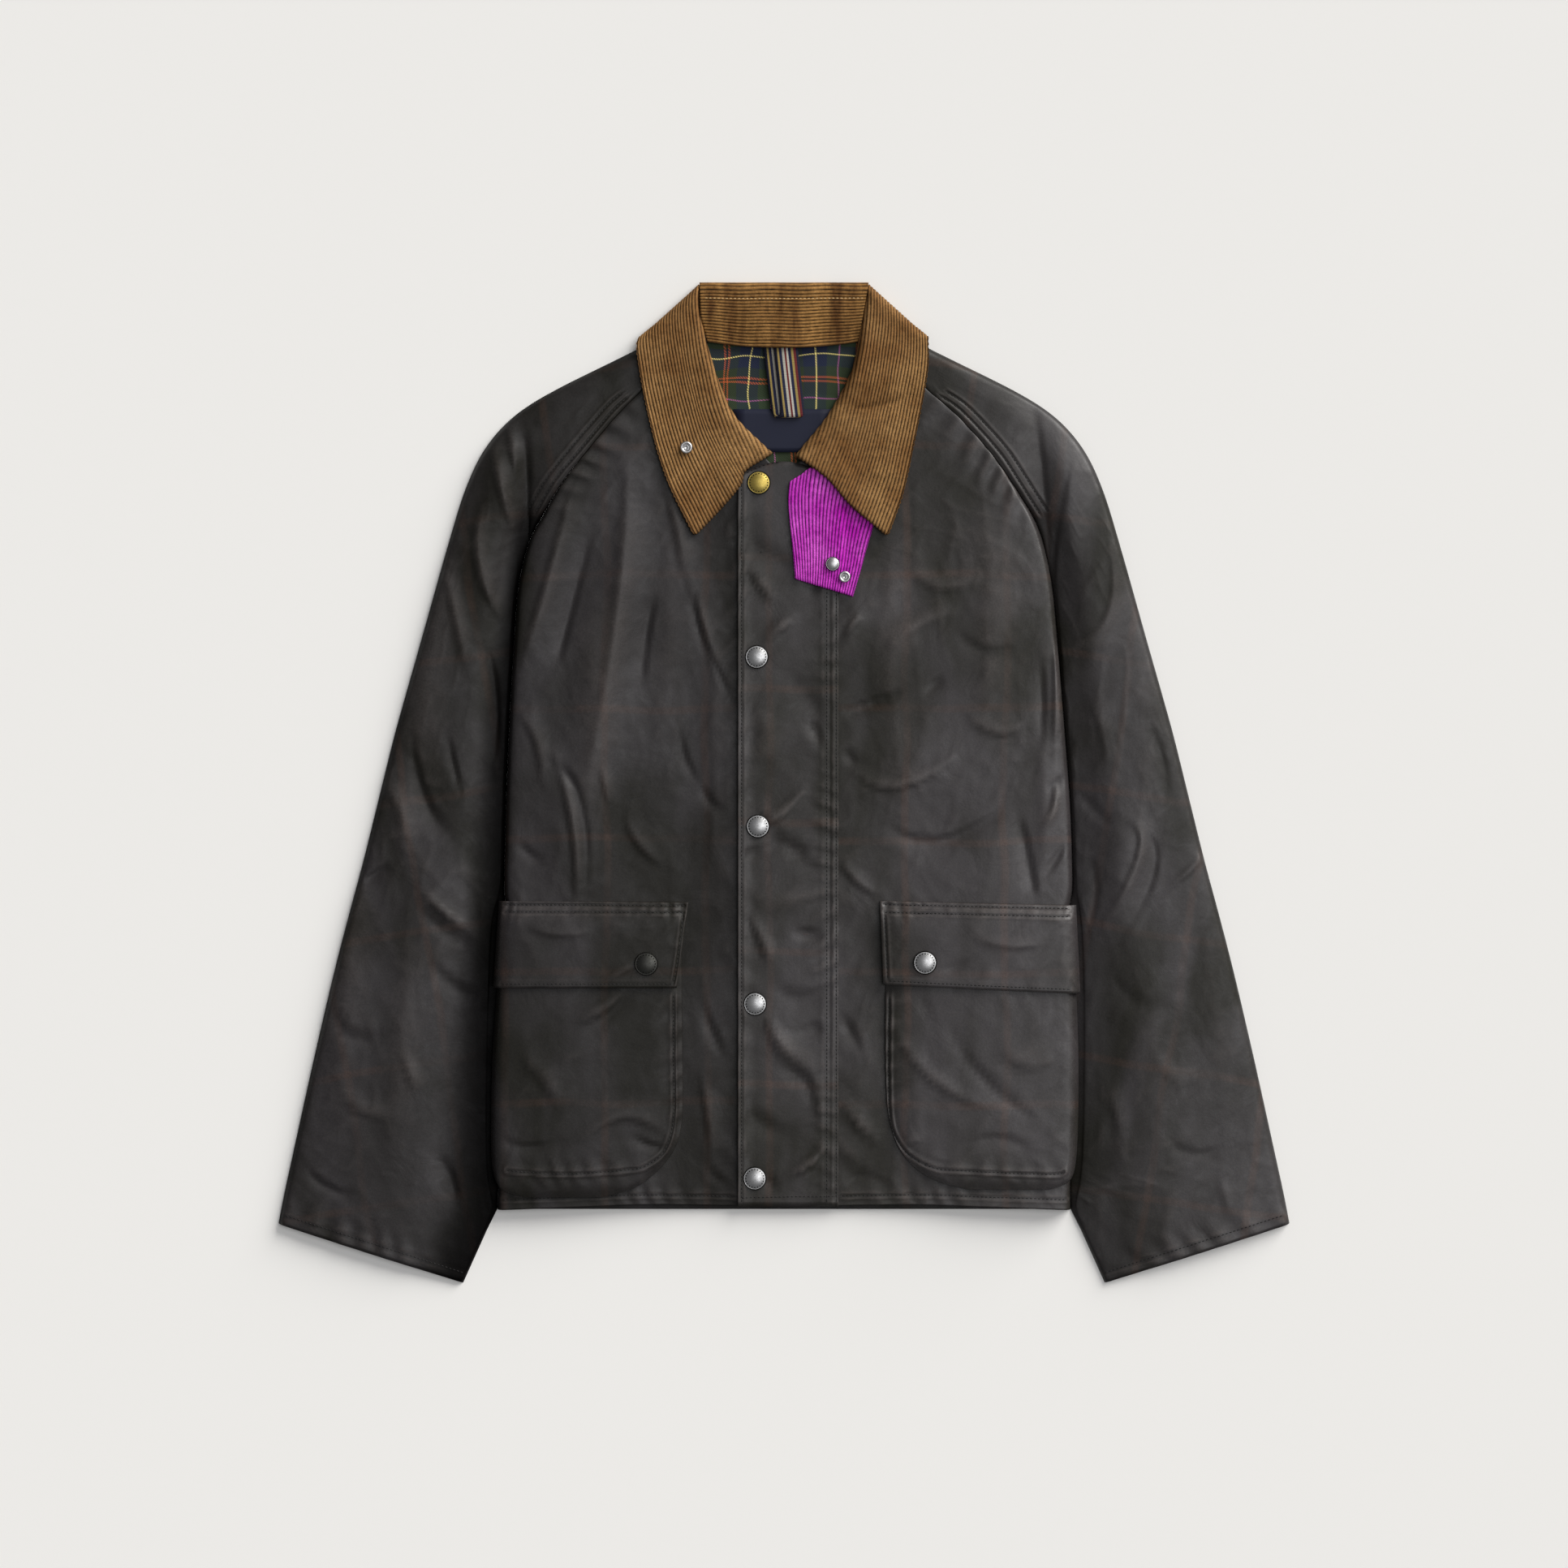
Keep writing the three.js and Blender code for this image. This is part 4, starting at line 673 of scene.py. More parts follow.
def checked_cotton(name):
    """Brushed cotton twill: bands of warp and weft colour that mix in fine diagonal ribs, soft and dull."""
    material, tree, shader = new_material(name)
    place = add_node(tree, "ShaderNodeTexCoord").outputs["Object"]
    sway = add_node(tree, "ShaderNodeTexNoise", {"Vector": place, "Scale": 22.0, "Detail": 1.0}).outputs["Color"]
    swayed = add_node(tree, "ShaderNodeVectorMath", {0: sway, "Scale": 0.012}, operation="SCALE").outputs[0]
    moved = add_node(tree, "ShaderNodeVectorMath", {0: place, 1: swayed}, operation="ADD").outputs[0]
    split = add_node(tree, "ShaderNodeSeparateXYZ", {"Vector": moved})
    threads = []
    for axis in "XY":
        cycles = add_node(tree, "ShaderNodeMath", {0: split.outputs[axis], 1: 1 / CHECK_SETT}, operation="MULTIPLY")
        share = add_node(tree, "ShaderNodeMath", {0: cycles.outputs[0]}, operation="FRACT").outputs[0]
        threads.append(banded(tree, share, LINING_BANDS))
    twill = add_node(tree, "ShaderNodeTexWave", {"Vector": moved, "Scale": 330.0, "Distortion": 0.3},
                     bands_direction="DIAGONAL").outputs["Fac"]
    woven = blend(tree, twill, threads[0], threads[1])
    tree.links.new(woven, shader.inputs["Base Color"])
    shader.inputs["Roughness"].default_value = 0.85
    shader.inputs["Specular IOR Level"].default_value = 0.2
    raised = add_node(tree, "ShaderNodeBump", {"Height": twill, "Strength": 0.4, "Distance": 0.15 * MM})
    tree.links.new(raised.outputs["Normal"], shader.inputs["Normal"])
    return material


def satin_label(name):
    """Dense satin weave: navy, with a fine sheen in rows across the label."""
    material, tree, shader = new_material(name)
    place = add_node(tree, "ShaderNodeTexCoord").outputs["Object"]
    rows = add_node(tree, "ShaderNodeTexWave", {"Vector": place, "Scale": 900.0}, bands_direction="Y").outputs["Fac"]
    fine = add_node(tree, "ShaderNodeBump", {"Height": rows, "Strength": 0.3, "Distance": 0.08 * MM})
    tree.links.new(fine.outputs["Normal"], shader.inputs["Normal"])
    shader.inputs["Base Color"].default_value = linear(NAVY)
    shader.inputs["Roughness"].default_value = 0.6
    shader.inputs["Specular IOR Level"].default_value = 0.25
    return material


def striped_webbing(name):
    """Herringbone webbing: lengthwise stripes, ribbed across by the weft, matte."""
    material, tree, shader = new_material(name)
    across = add_node(tree, "ShaderNodeAttribute", attribute_name="across").outputs["Fac"]
    tree.links.new(banded(tree, across, LOOP_STRIPES), shader.inputs["Base Color"])
    place = add_node(tree, "ShaderNodeTexCoord").outputs["Object"]
    weft = add_node(tree, "ShaderNodeTexWave", {"Vector": place, "Scale": 260.0, "Distortion": 0.5},
                    bands_direction="Y").outputs["Fac"]
    ribs = add_node(tree, "ShaderNodeBump", {"Height": weft, "Strength": 0.6, "Distance": 0.25 * MM})
    tree.links.new(ribs.outputs["Normal"], shader.inputs["Normal"])
    shader.inputs["Roughness"].default_value = 0.85
    shader.inputs["Specular IOR Level"].default_value = 0.2
    return material


lining = refined_copy("neck_lining", "jacket_neck_lining", 4)
points = read_points(lining.data)
points[:, 2] += 0.35 * MM * (crumple_height(points, 11) - 0.6)
write_points(lining.data, points)
finish_piece(lining, "neck_lining", checked_cotton("brushed_checked_cotton"))

label = refined_copy("neck_label", "jacket_neck_label", 3)
finish_piece(label, "neck_label", satin_label("navy_woven_satin"))

loop = refined_copy("hanger_loop", "jacket_hanger_loop", 3)
points = read_points(loop.data)
low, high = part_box("hanger_loop")
down = (high.y - points[:, 1]) / (high.y - low.y)
upper = smooth_share(points[:, 2], low.z + 0.35 * (high.z - low.z), low.z + 0.65 * (high.z - low.z))
middle = (-3 + 6.5 * down + (2 * upper - 1) * 4) * MM
write_attribute(loop.data, "across", np.clip((points[:, 0] - middle) / LOOP_WIDTH + 0.5, 0, 0.999))
points[:, 1] += 5 * MM * (1 - down) ** 2
write_points(loop.data, points)
finish_piece(loop, "hanger_loop", striped_webbing("striped_cotton_webbing"))


# Collar and throat tab
# Needlecord of two colours over a stiff stay: the stand rolls over behind the neck, the leaves fold down on
# the fronts and the tab lies under the left leaf. Ribs run parallel to the leaf's outer edge.
CORD_THICKNESS = 2.4 * MM
TAB_CORD_THICKNESS = 2.1 * MM
RIB_PITCH = 3 * MM
RIB_HEIGHT = 0.75 * MM
SCALLOP = 0.9 * MM  # how far an edge draws in between two ribs or two stitches
LEAF_EDGES = {  # millimetres from the middle: fold line, outer edge and lower edge
    "right": {
        "fold": ((67, 394.5), (66, 369), (55, 327), (40, 292), (17, 268), (9, 261)),
        "outer": ((114, 352), (116.5, 340), (107.5, 290), (93.5, 241), (71, 194)),
        "lower": ((9, 261), (15, 256.5), (30, 246.5), (34, 235), (50, 216), (71, 194)),
    },
    "left": {
        "fold": ((67, 394.5), (61, 360), (54, 327), (35.5, 292), (14, 265), (9, 258)),
        "outer": ((114, 352), (113.5, 323), (102.5, 265), (94, 227), (82, 194)),
        "lower": ((9, 258), (24, 248), (36, 238), (52, 219.5), (75, 200), (82, 194)),
    },
}
TAB_EDGES = {
    "left": ((4, 238), (3.2, 219), (7, 178.6), (8.5, 161.5)),
    "right": ((73, 210), (65.3, 184.6), (60.8, 168.3), (54.5, 147.5)),
    "top": ((4, 238), (13, 243.5), (24, 249), (46, 235), (73, 210)),
}
LEAF_ROWS, LEAF_COLUMNS = 84, 210
TAB_ROWS, TAB_COLUMNS, TAB_RIBS = 60, 180, 24
STAND_COLUMNS, STAND_ROWS, STAND_RIBS = 130, 90, 23
FOLD_RADIUS = 6.5 * MM
TOP_RADIUS = 8 * MM
POINT_RADIUS = 5 * MM


def curve_through(corners, shares):
    """Points at equal shares of the length of a smooth curve through its corners, in metres."""
    corners = np.array(corners, float) * MM
    padded = np.vstack((corners[:1], corners, corners[-1:]))
    t = np.linspace(0, 1, 24, endpoint=False)[:, None]
    pieces = []
    for a, b, c, d in zip(padded, padded[1:], padded[2:], padded[3:]):
        pull_in, pull_out = (c - a) / 2, (d - b) / 2
        pieces.append((2 * b - 2 * c + pull_in + pull_out) * t ** 3
                      + (3 * c - 3 * b - 2 * pull_in - pull_out) * t ** 2 + pull_in * t + b)
    line = np.vstack(pieces + [corners[-1:]])
    travelled = np.concatenate(([0], np.cumsum(np.linalg.norm(np.diff(line, axis=0), axis=1))))
    places = np.asarray(shares) * travelled[-1]
    return np.stack([np.interp(places, travelled, line[:, axis]) for axis in (0, 1)], -1)


def patch(first, second, top, bottom, rows, columns):
    """Grid of points between four edges: rows go down, columns from the first edge to the second."""
    down = np.linspace(0, 1, rows)
    across = np.linspace(0, 1, columns)
    v, u = np.meshgrid(down, across, indexing="ij")
    u, v = u[..., None], v[..., None]
    left, right = (curve_through(edge, down)[:, None] for edge in (first, second))
    upper, lower = (curve_through(edge, across)[None] for edge in (top, bottom))
    corners = (1 - v) * ((1 - u) * upper[:, :1] + u * upper[:, -1:])
    corners = corners + v * ((1 - u) * lower[:, :1] + u * lower[:, -1:])
    return (1 - u) * left + u * right + (1 - v) * upper + v * lower - corners


def underside_heights(node, plan, otherwise):
    """Height of a node's lowest face over each point of a plan, and the nearest known one where it has none."""
    surface = face_tree(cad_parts[node].data)
    heights = np.full(plan.shape[:2], np.nan)
    for index in np.ndindex(heights.shape):
        hit = surface.ray_cast(Vector((*plan[index], -0.01)), Vector((0, 0, 1)))[0]
        if hit:
            heights[index] = hit.z
    for row in heights:
        known = np.flatnonzero(~np.isnan(row))
        row[:] = np.interp(np.arange(len(row)), known, row[known]) if len(known) else otherwise
    return heights


def softened(heights, times):
    for _ in range(times):
        padded = np.pad(heights, 1, mode="edge")
        heights = (padded[:-2, 1:-1] + padded[2:, 1:-1] + padded[1:-1, :-2] + padded[1:-1, 2:] + heights) / 5
    return heights


def corduroy_wall(name, grid, thickness, ribs_at, sewn_edge):
    """Closed wall whose outside passes through a grid, ribbed by the given share of the rib's height."""
    across = np.gradient(grid, axis=1)
    down = np.gradient(grid, axis=0)
    normals = np.cross(across, down)
    normals /= np.linalg.norm(normals, axis=2, keepdims=True)
    if normals[..., 2].mean() < 0:
        normals = -normals
    outer = grid + normals * (ribs_at * RIB_HEIGHT)[..., None]
    inner = grid - normals * thickness
    inner[..., 2] = np.maximum(inner[..., 2], 0.0002)
    outer[..., 2] = np.maximum(outer[..., 2], 0.0)
    rows, columns = grid.shape[:2]
    bm = bmesh.new()
    bmesh.ops.create_grid(bm, x_segments=columns - 1, y_segments=rows - 1, size=1.0)
    rib, sewn = (bm.verts.layers.float.new(layer) for layer in ("rib", "sewn_edge"))
    inside = set(bm.verts)
    grown = bmesh.ops.extrude_face_region(bm, geom=bm.faces[:], use_keep_orig=True)
    outside = {vertex for vertex in grown["geom"] if isinstance(vertex, bmesh.types.BMVert)}
    for vertex in inside | outside:
        column = round((vertex.co.x + 1) / 2 * (columns - 1))
        row = round((1 - vertex.co.y) / 2 * (rows - 1))
        vertex.co = (outer if vertex in outside else inner)[row, column]
        vertex[rib] = ribs_at[row, column] if vertex in outside else 0.4
        vertex[sewn] = sewn_edge[row, column] if vertex in outside else 1.0
    bmesh.ops.recalc_face_normals(bm, faces=bm.faces)
    mesh = bpy.data.meshes.new(name)
    bm.to_mesh(mesh)
    bm.free()
    mesh.shade_smooth()
    return link_mesh(name, mesh)


def ribs(cycles):
    """Rounded ribs with narrow grooves, from 0 in a groove to 1 on a crest, one for each cycle."""
    return np.abs(np.sin(np.pi * cycles)) ** 0.55


def corduroy(name, groove, nap, rubbed, edge, patch_stretch):
    """Cotton needlecord: soft upright pile on each rib, dark between the ribs, where the bare ground shows and
    shade is painted in the furrows, paler in bands where the pile is crushed or rubbed, and overcast with
    dark thread round the edges."""
    material, tree, shader = new_material(name)
    place = add_node(tree, "ShaderNodeTexCoord").outputs["Object"]
    rib = add_node(tree, "ShaderNodeAttribute", attribute_name="rib").outputs["Fac"]
    sewn = add_node(tree, "ShaderNodeAttribute", attribute_name="sewn_edge").outputs["Fac"]
    pile = noise(tree, place, 1100.0, 2.0, 0.7)
    tufts = noise(tree, place, 240.0, 2.0, 0.6)
    stretched = add_node(tree, "ShaderNodeMapping", {"Vector": place, "Scale": patch_stretch}).outputs["Vector"]
    patches = noise(tree, stretched, 30.0, 4.0, 0.6)
    crushed = remap(tree, patches, (0.38, 0.66), (0.0, 1.0))
    crest = blend(tree, crushed, linear(nap), linear(rubbed))
    uneven = maths(tree, "MULTIPLY_ADD", tufts, 0.5, -0.25)
    lifted = maths(tree, "ADD", rib, uneven)
    height = remap(tree, lifted, (0.3, 1.0), (0.0, 1.0))
    # The groove colour is partly the bare ground weave and partly painted shade in the furrows.
    piled = blend(tree, height, linear(groove), crest)
    bound = blend(tree, sewn, piled, linear(edge))
    shade = remap(tree, pile, (0.3, 0.7), (0.7, 1.28))
    flecked = add_node(tree, "ShaderNodeVectorMath", {0: bound, "Scale": shade}, operation="SCALE").outputs[0]
    tree.links.new(flecked, shader.inputs["Base Color"])
    shader.inputs["Roughness"].default_value = 0.9
    shader.inputs["Specular IOR Level"].default_value = 0.15
    shader.inputs["Sheen Weight"].default_value = 0.2
    shader.inputs["Sheen Roughness"].default_value = 0.5
    tree.links.new(crest, shader.inputs["Sheen Tint"])
    rough = add_node(tree, "ShaderNodeBump", {"Height": pile, "Strength": 0.5, "Distance": 0.3 * MM})
    tree.links.new(rough.outputs["Normal"], shader.inputs["Normal"])
    return material


def quarter_round(distance, radius):
    left = 1 - np.clip(distance / radius, 0, 1)
    return np.sqrt(1 - left ** 2)


brown_cord = corduroy("brown_needlecord", "#170d06", "#7c5730", "#a07a4c", "#382410", (1.0, 0.8, 1.0))
for side, sign in (("right", -1), ("left", 1)):
    node = f"{side}_collar_leaf"
    edges = LEAF_EDGES[side]
    top = (edges["fold"][0], edges["outer"][0])
    plan = patch(edges["fold"], edges["outer"], top, edges["lower"], LEAF_ROWS, LEAF_COLUMNS)
    plan[..., 0] *= sign
    from_fold = np.linalg.norm(plan - plan[:, :1], axis=2)
    from_top = np.linalg.norm(plan - plan[:1], axis=2)
    from_outer = np.linalg.norm(plan - plan[:, -1:], axis=2)
    from_lower = np.linalg.norm(plan - plan[-1:], axis=2)
    lying = underside_heights(node, plan, 9 * MM) + CORD_THICKNESS + 0.4 * MM
    flat_start = int(np.argmax(from_fold.mean(0) > FOLD_RADIUS + 3.5 * MM))
    flat_row = int(np.argmax(from_top.mean(1) > TOP_RADIUS + 3.5 * MM))
    lying[:, :flat_start] = lying[:, flat_start:flat_start + 1]
    lying[:flat_row] = lying[flat_row:flat_row + 1]
    lying = softened(lying, 40)
    flat_points = np.concatenate((plan.reshape(-1, 2), np.zeros((plan.shape[0] * plan.shape[1], 1))), 1)
    lying = lying + crease_height(flat_points, node).reshape(lying.shape)
    top_low = 9.4 * MM * smooth_share(np.linspace(0, 1, LEAF_COLUMNS)[None, :], 0.7, 0.98) + 0.2 * MM
    by_fold = 5.2 * MM + (lying - 5.2 * MM) * quarter_round(from_fold, FOLD_RADIUS)
    by_top = top_low + (lying - top_low) * quarter_round(from_top, TOP_RADIUS)
    height = np.minimum(by_fold, by_top)
    drift = 0.12 * np.sin(from_top / (31 * MM)) + 0.05 * np.sin(from_top / (6.3 * MM) + from_outer / (9 * MM))
    ribs_at = ribs(from_outer / RIB_PITCH + drift + 0.5)
    inward = plan[-2:-1] - plan[-1:]
    inward /= np.linalg.norm(inward, axis=2, keepdims=True)
    draw = SCALLOP * (1 - ribs_at) * np.clip(1 - from_lower / (3 * MM), 0, 1)
    plan = plan + inward * 1.2 * draw[..., None]
    side_in = plan[:, -2:-1] - plan[:, -1:]
    side_in /= np.linalg.norm(side_in, axis=2, keepdims=True)
    overcast = 0.5 + 0.5 * np.sin(2 * np.pi * from_top / (3.6 * MM))
    plan = plan + side_in * (1.2 * SCALLOP * overcast * np.clip(1 - from_outer / (3 * MM), 0, 1))[..., None]
    tip = plan[-1, -1].copy()
    to_tip = np.linalg.norm(plan - tip, axis=2)
    middle = plan[LEAF_ROWS // 2, LEAF_COLUMNS // 2]
    blunt = 0.55 * POINT_RADIUS * np.clip(1 - to_tip / POINT_RADIUS, 0, 1) ** 2
    plan = plan + ((middle - tip) / np.linalg.norm(middle - tip)) * blunt[..., None]
    sewn = 1 - smooth_share(np.minimum(from_outer, from_lower), 1.2 * MM, 2.6 * MM)
    grid = np.concatenate((plan, height[..., None]), 2)
    leaf = corduroy_wall(f"jacket_{node}", grid, CORD_THICKNESS, ribs_at, 0.75 * sewn)
    panels[node] = finish_piece(leaf, node, brown_cord)

tab_bottom = (TAB_EDGES["left"][-1], TAB_EDGES["right"][-1])
plan = patch(TAB_EDGES["left"], TAB_EDGES["right"], TAB_EDGES["top"], tab_bottom, TAB_ROWS, TAB_COLUMNS)
lying = softened(underside_heights("throat_tab", plan, 9 * MM), 20) + TAB_CORD_THICKNESS + 0.3 * MM
share = np.linspace(0, 1, TAB_COLUMNS)[None, :]
down = np.linspace(0, 1, TAB_ROWS)[:, None]
ribs_at = ribs(TAB_RIBS * share + 0.25 * np.sin(5 * down))
from_bottom = np.linalg.norm(plan - plan[-1:], axis=2)
from_side = np.minimum(np.linalg.norm(plan - plan[:, :1], axis=2), np.linalg.norm(plan - plan[:, -1:], axis=2))
inward = plan[-2:-1] - plan[-1:]
inward /= np.linalg.norm(inward, axis=2, keepdims=True)
plan = plan + inward * (SCALLOP * (1 - ribs_at) * np.clip(1 - from_bottom / (3 * MM), 0, 1))[..., None]
toward = np.where(share < 0.5, 1, -1) * np.clip(1 - from_side / (2.5 * MM), 0, 1)
plan[..., 0] += 0.4 * SCALLOP * toward * (1 + np.sin(2 * np.pi * down * 100 / 3.4))
grid = np.concatenate((plan, lying[..., None]), 2)
sewn = np.maximum(1 - smooth_share(from_bottom, 1 * MM, 2 * MM), 1 - smooth_share(from_side, 1 * MM, 2 * MM))
tab = corduroy_wall("jacket_throat_tab", grid, TAB_CORD_THICKNESS, ribs_at, 0.6 * sewn)
panels["throat_tab"] = finish_piece(
    tab, "throat_tab",
    corduroy("purple_needlecord", "#31033a", "#b51dac", "#d95ad0", "#7a1279", (1.0, 1.0, 1.0)))

low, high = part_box("collar_stand")
stand_top, stand_level, stand_roll = high.y, 9.8 * MM, 7.5 * MM
flat_share = 0.72
share = np.linspace(0, 1, STAND_COLUMNS)[None, :]
side = np.linspace(-1, 1, STAND_ROWS)[:, None]
bottom = (344 + 5 * side ** 2) * MM
up = np.clip(share / flat_share, 0, 1)
turn = np.pi * np.clip((share - flat_share) / (1 - flat_share), 0, 1)
y = bottom + (stand_top - stand_roll - bottom) * up + stand_roll * np.sin(turn)
over_loop = 4.6 * MM * np.exp(-(side * 62 / 21) ** 2)
rising = 7.2 * MM + over_loop + (stand_level - 7.2 * MM - over_loop) * smooth_share(up, 0, 0.7)
waves = 0.35 * MM * np.sin(side * 13 + 0.6 * np.sin(side * 5)) * np.sin(np.pi * up) * np.cos(turn / 2)
z = rising * (1 + np.cos(turn)) / 2 + waves
fold_x = {s: np.array(LEAF_EDGES[s]["fold"][:3]) * MM for s in ("right", "left")}
widths = {s: np.interp(y, f[::-1, 1], f[::-1, 0]) - 0.3 * MM for s, f in fold_x.items()}
x = np.where(side < 0, side * widths["right"], side * widths["left"])
grid = np.stack((x, y, z), -1)
ribs_at = ribs(STAND_RIBS * share + 0.12 * np.sin(side * 9))
sewn = (1 - smooth_share(share, 0.01, 0.035)) + 0 * side
stand = corduroy_wall("jacket_collar_stand", grid, CORD_THICKNESS, ribs_at, 0.6 * sewn)
panels["collar_stand"] = finish_piece(
    stand, "collar_stand",
    corduroy("brown_needlecord_crushed", "#170d06", "#5e3e1e", "#a47a45", "#5a3f22", (1.9, 0.3, 1.0)))


# Snap fasteners
# Pressed caps of darkened brass: a shallow dome in a rolled rim, with a ring of plain pips round the dome.
# The throat snap is bare brass. The small ones on the tab and collar are open sockets with a hollow middle.
CAP_PROFILE = ((0.0, 1.0), (0.2, 0.98), (0.38, 0.92), (0.54, 0.82), (0.68, 0.69), (0.8, 0.55), (0.87, 0.47),
               (0.905, 0.46), (0.94, 0.54), (0.97, 0.52), (0.992, 0.42), (1.0, 0.3), (0.985, 0.1), (0.95, 0.0))
SOCKET_PROFILE = ((0.0, 0.24), (0.2, 0.24), (0.24, 0.46), (0.3, 0.5), (0.36, 0.44), (0.4, 0.3), (0.5, 0.34),
                  (0.56, 0.74), (0.66, 0.95), (0.78, 1.0), (0.9, 0.9), (0.98, 0.66), (1.0, 0.4), (0.96, 0.0))
SNAP_SEGMENTS = 64
PIPS = 20
PIP_RING = 0.76
RIM_START = 0.92  # painted shade: the rolled rim takes the dark second material, as shade round the cap's edge
PIP_LEVEL = 0.6
PIP_RADIUS = 0.06
SNAPS = {f"flap_stud_{i}": "gunmetal" for i in (1, 2, 3, 4)}
SNAPS.update({"right_pocket_stud": "gunmetal", "left_pocket_stud": "gunmetal", "tab_stud": "gunmetal",
              "tab_socket": "gunmetal", "collar_stud": "gunmetal", "neck_stud": "brass"})
SOCKETS = ("tab_socket", "collar_stud")
LOOKS = {"tab_stud": "pale", "tab_socket": "pale", "collar_stud": "pale", "right_pocket_stud": "blackened"}


def aged_metal(name, colour, dulled, roughness):
    """Plated, tumbled metal: a thin dark patina, brighter and smoother in patches, finely scratched."""
    material, tree, shader = new_material(name)
    place = add_node(tree, "ShaderNodeTexCoord").outputs["Object"]
    patina = noise(tree, place, 420.0, 4.0, 0.65)
    tint = blend(tree, patina, linear(dulled), linear(colour))
    tree.links.new(tint, shader.inputs["Base Color"])
    gloss = add_node(tree, "ShaderNodeMapRange", {
        "Value": patina, "To Min": roughness + 0.1, "To Max": roughness - 0.06,
    }).outputs["Result"]
    tree.links.new(gloss, shader.inputs["Roughness"])
    shader.inputs["Metallic"].default_value = 1.0
    dents = add_node(tree, "ShaderNodeBump", {"Height": patina, "Strength": 0.15, "Distance": 0.03 * MM})
    tree.links.new(dents.outputs["Normal"], shader.inputs["Normal"])
    return material


def snap_mesh(name, centre, radius, height, profile, pips):
    """A pressed cap or socket: half its section turned about its axis, closed below, with pips round it."""
    bm = bmesh.new()
    section = [bm.verts.new(centre + Vector((out * radius, 0, up * height))) for out, up in profile]
    section.append(bm.verts.new(centre))
    edges = [bm.edges.new(pair) for pair in zip(section, section[1:])]
    bmesh.ops.spin(bm, geom=section + edges, cent=centre, axis=(0, 0, 1), angle=2 * math.pi,
                   steps=SNAP_SEGMENTS, use_merge=True)
    bmesh.ops.remove_doubles(bm, verts=bm.verts, dist=0.001 * MM)
    for face in bm.faces:
        # The rolled rim takes the second, dark material: painted shade.
        face.material_index = int(pips and (face.calc_center_median() - centre).xy.length > RIM_START * radius)
    for i in range(pips):
        angle = 2 * math.pi * i / pips
        place = centre + Vector((math.cos(angle) * PIP_RING * radius, math.sin(angle) * PIP_RING * radius,
                                 PIP_LEVEL * height))
        made = bmesh.ops.create_icosphere(bm, subdivisions=1, radius=PIP_RADIUS * radius)
        bmesh.ops.translate(bm, verts=made["verts"], vec=place)
        for face in {face for vertex in made["verts"] for face in vertex.link_faces}:
            face.material_index = 1
    bmesh.ops.recalc_face_normals(bm, faces=bm.faces)
    mesh = bpy.data.meshes.new(name)
    bm.to_mesh(mesh)
    bm.free()
    mesh.shade_smooth()
    return link_mesh(name, mesh)


metals = {
    "gunmetal": aged_metal("gunmetal_plated_brass", "#c6c6c5", "#79797a", 0.34),
    "blackened": aged_metal("gunmetal_worn_dark", "#4a4a47", "#2e2e2b", 0.4),
    "pale": aged_metal("nickel_plated_brass", "#d6d5d3", "#8f8f92", 0.36),
    "brass": aged_metal("tumbled_brass", "#c9b262", "#8d7a3a", 0.38),
    "pips_and_rim_shade": aged_metal("dark_pips_and_painted_rim_shade", "#2a2927", "#191817", 0.6),
}
for node, slot in SNAPS.items():
    low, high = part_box(node)
    base = Vector(((low.x + high.x) / 2, (low.y + high.y) / 2, low.z))
    profile = SOCKET_PROFILE if node in SOCKETS else CAP_PROFILE
    cap = snap_mesh(f"jacket_{node}", base, (high.x - low.x) / 2, high.z - low.z, profile,
                    0 if node in SOCKETS else PIPS)
    finish_piece(cap, node, metals[LOOKS.get(node, slot)])
    # Second slot: dark pips, which stand for the maker's marks, and painted shade on the rolled rim.
    cap.data.materials.append(metals["pips_and_rim_shade"])


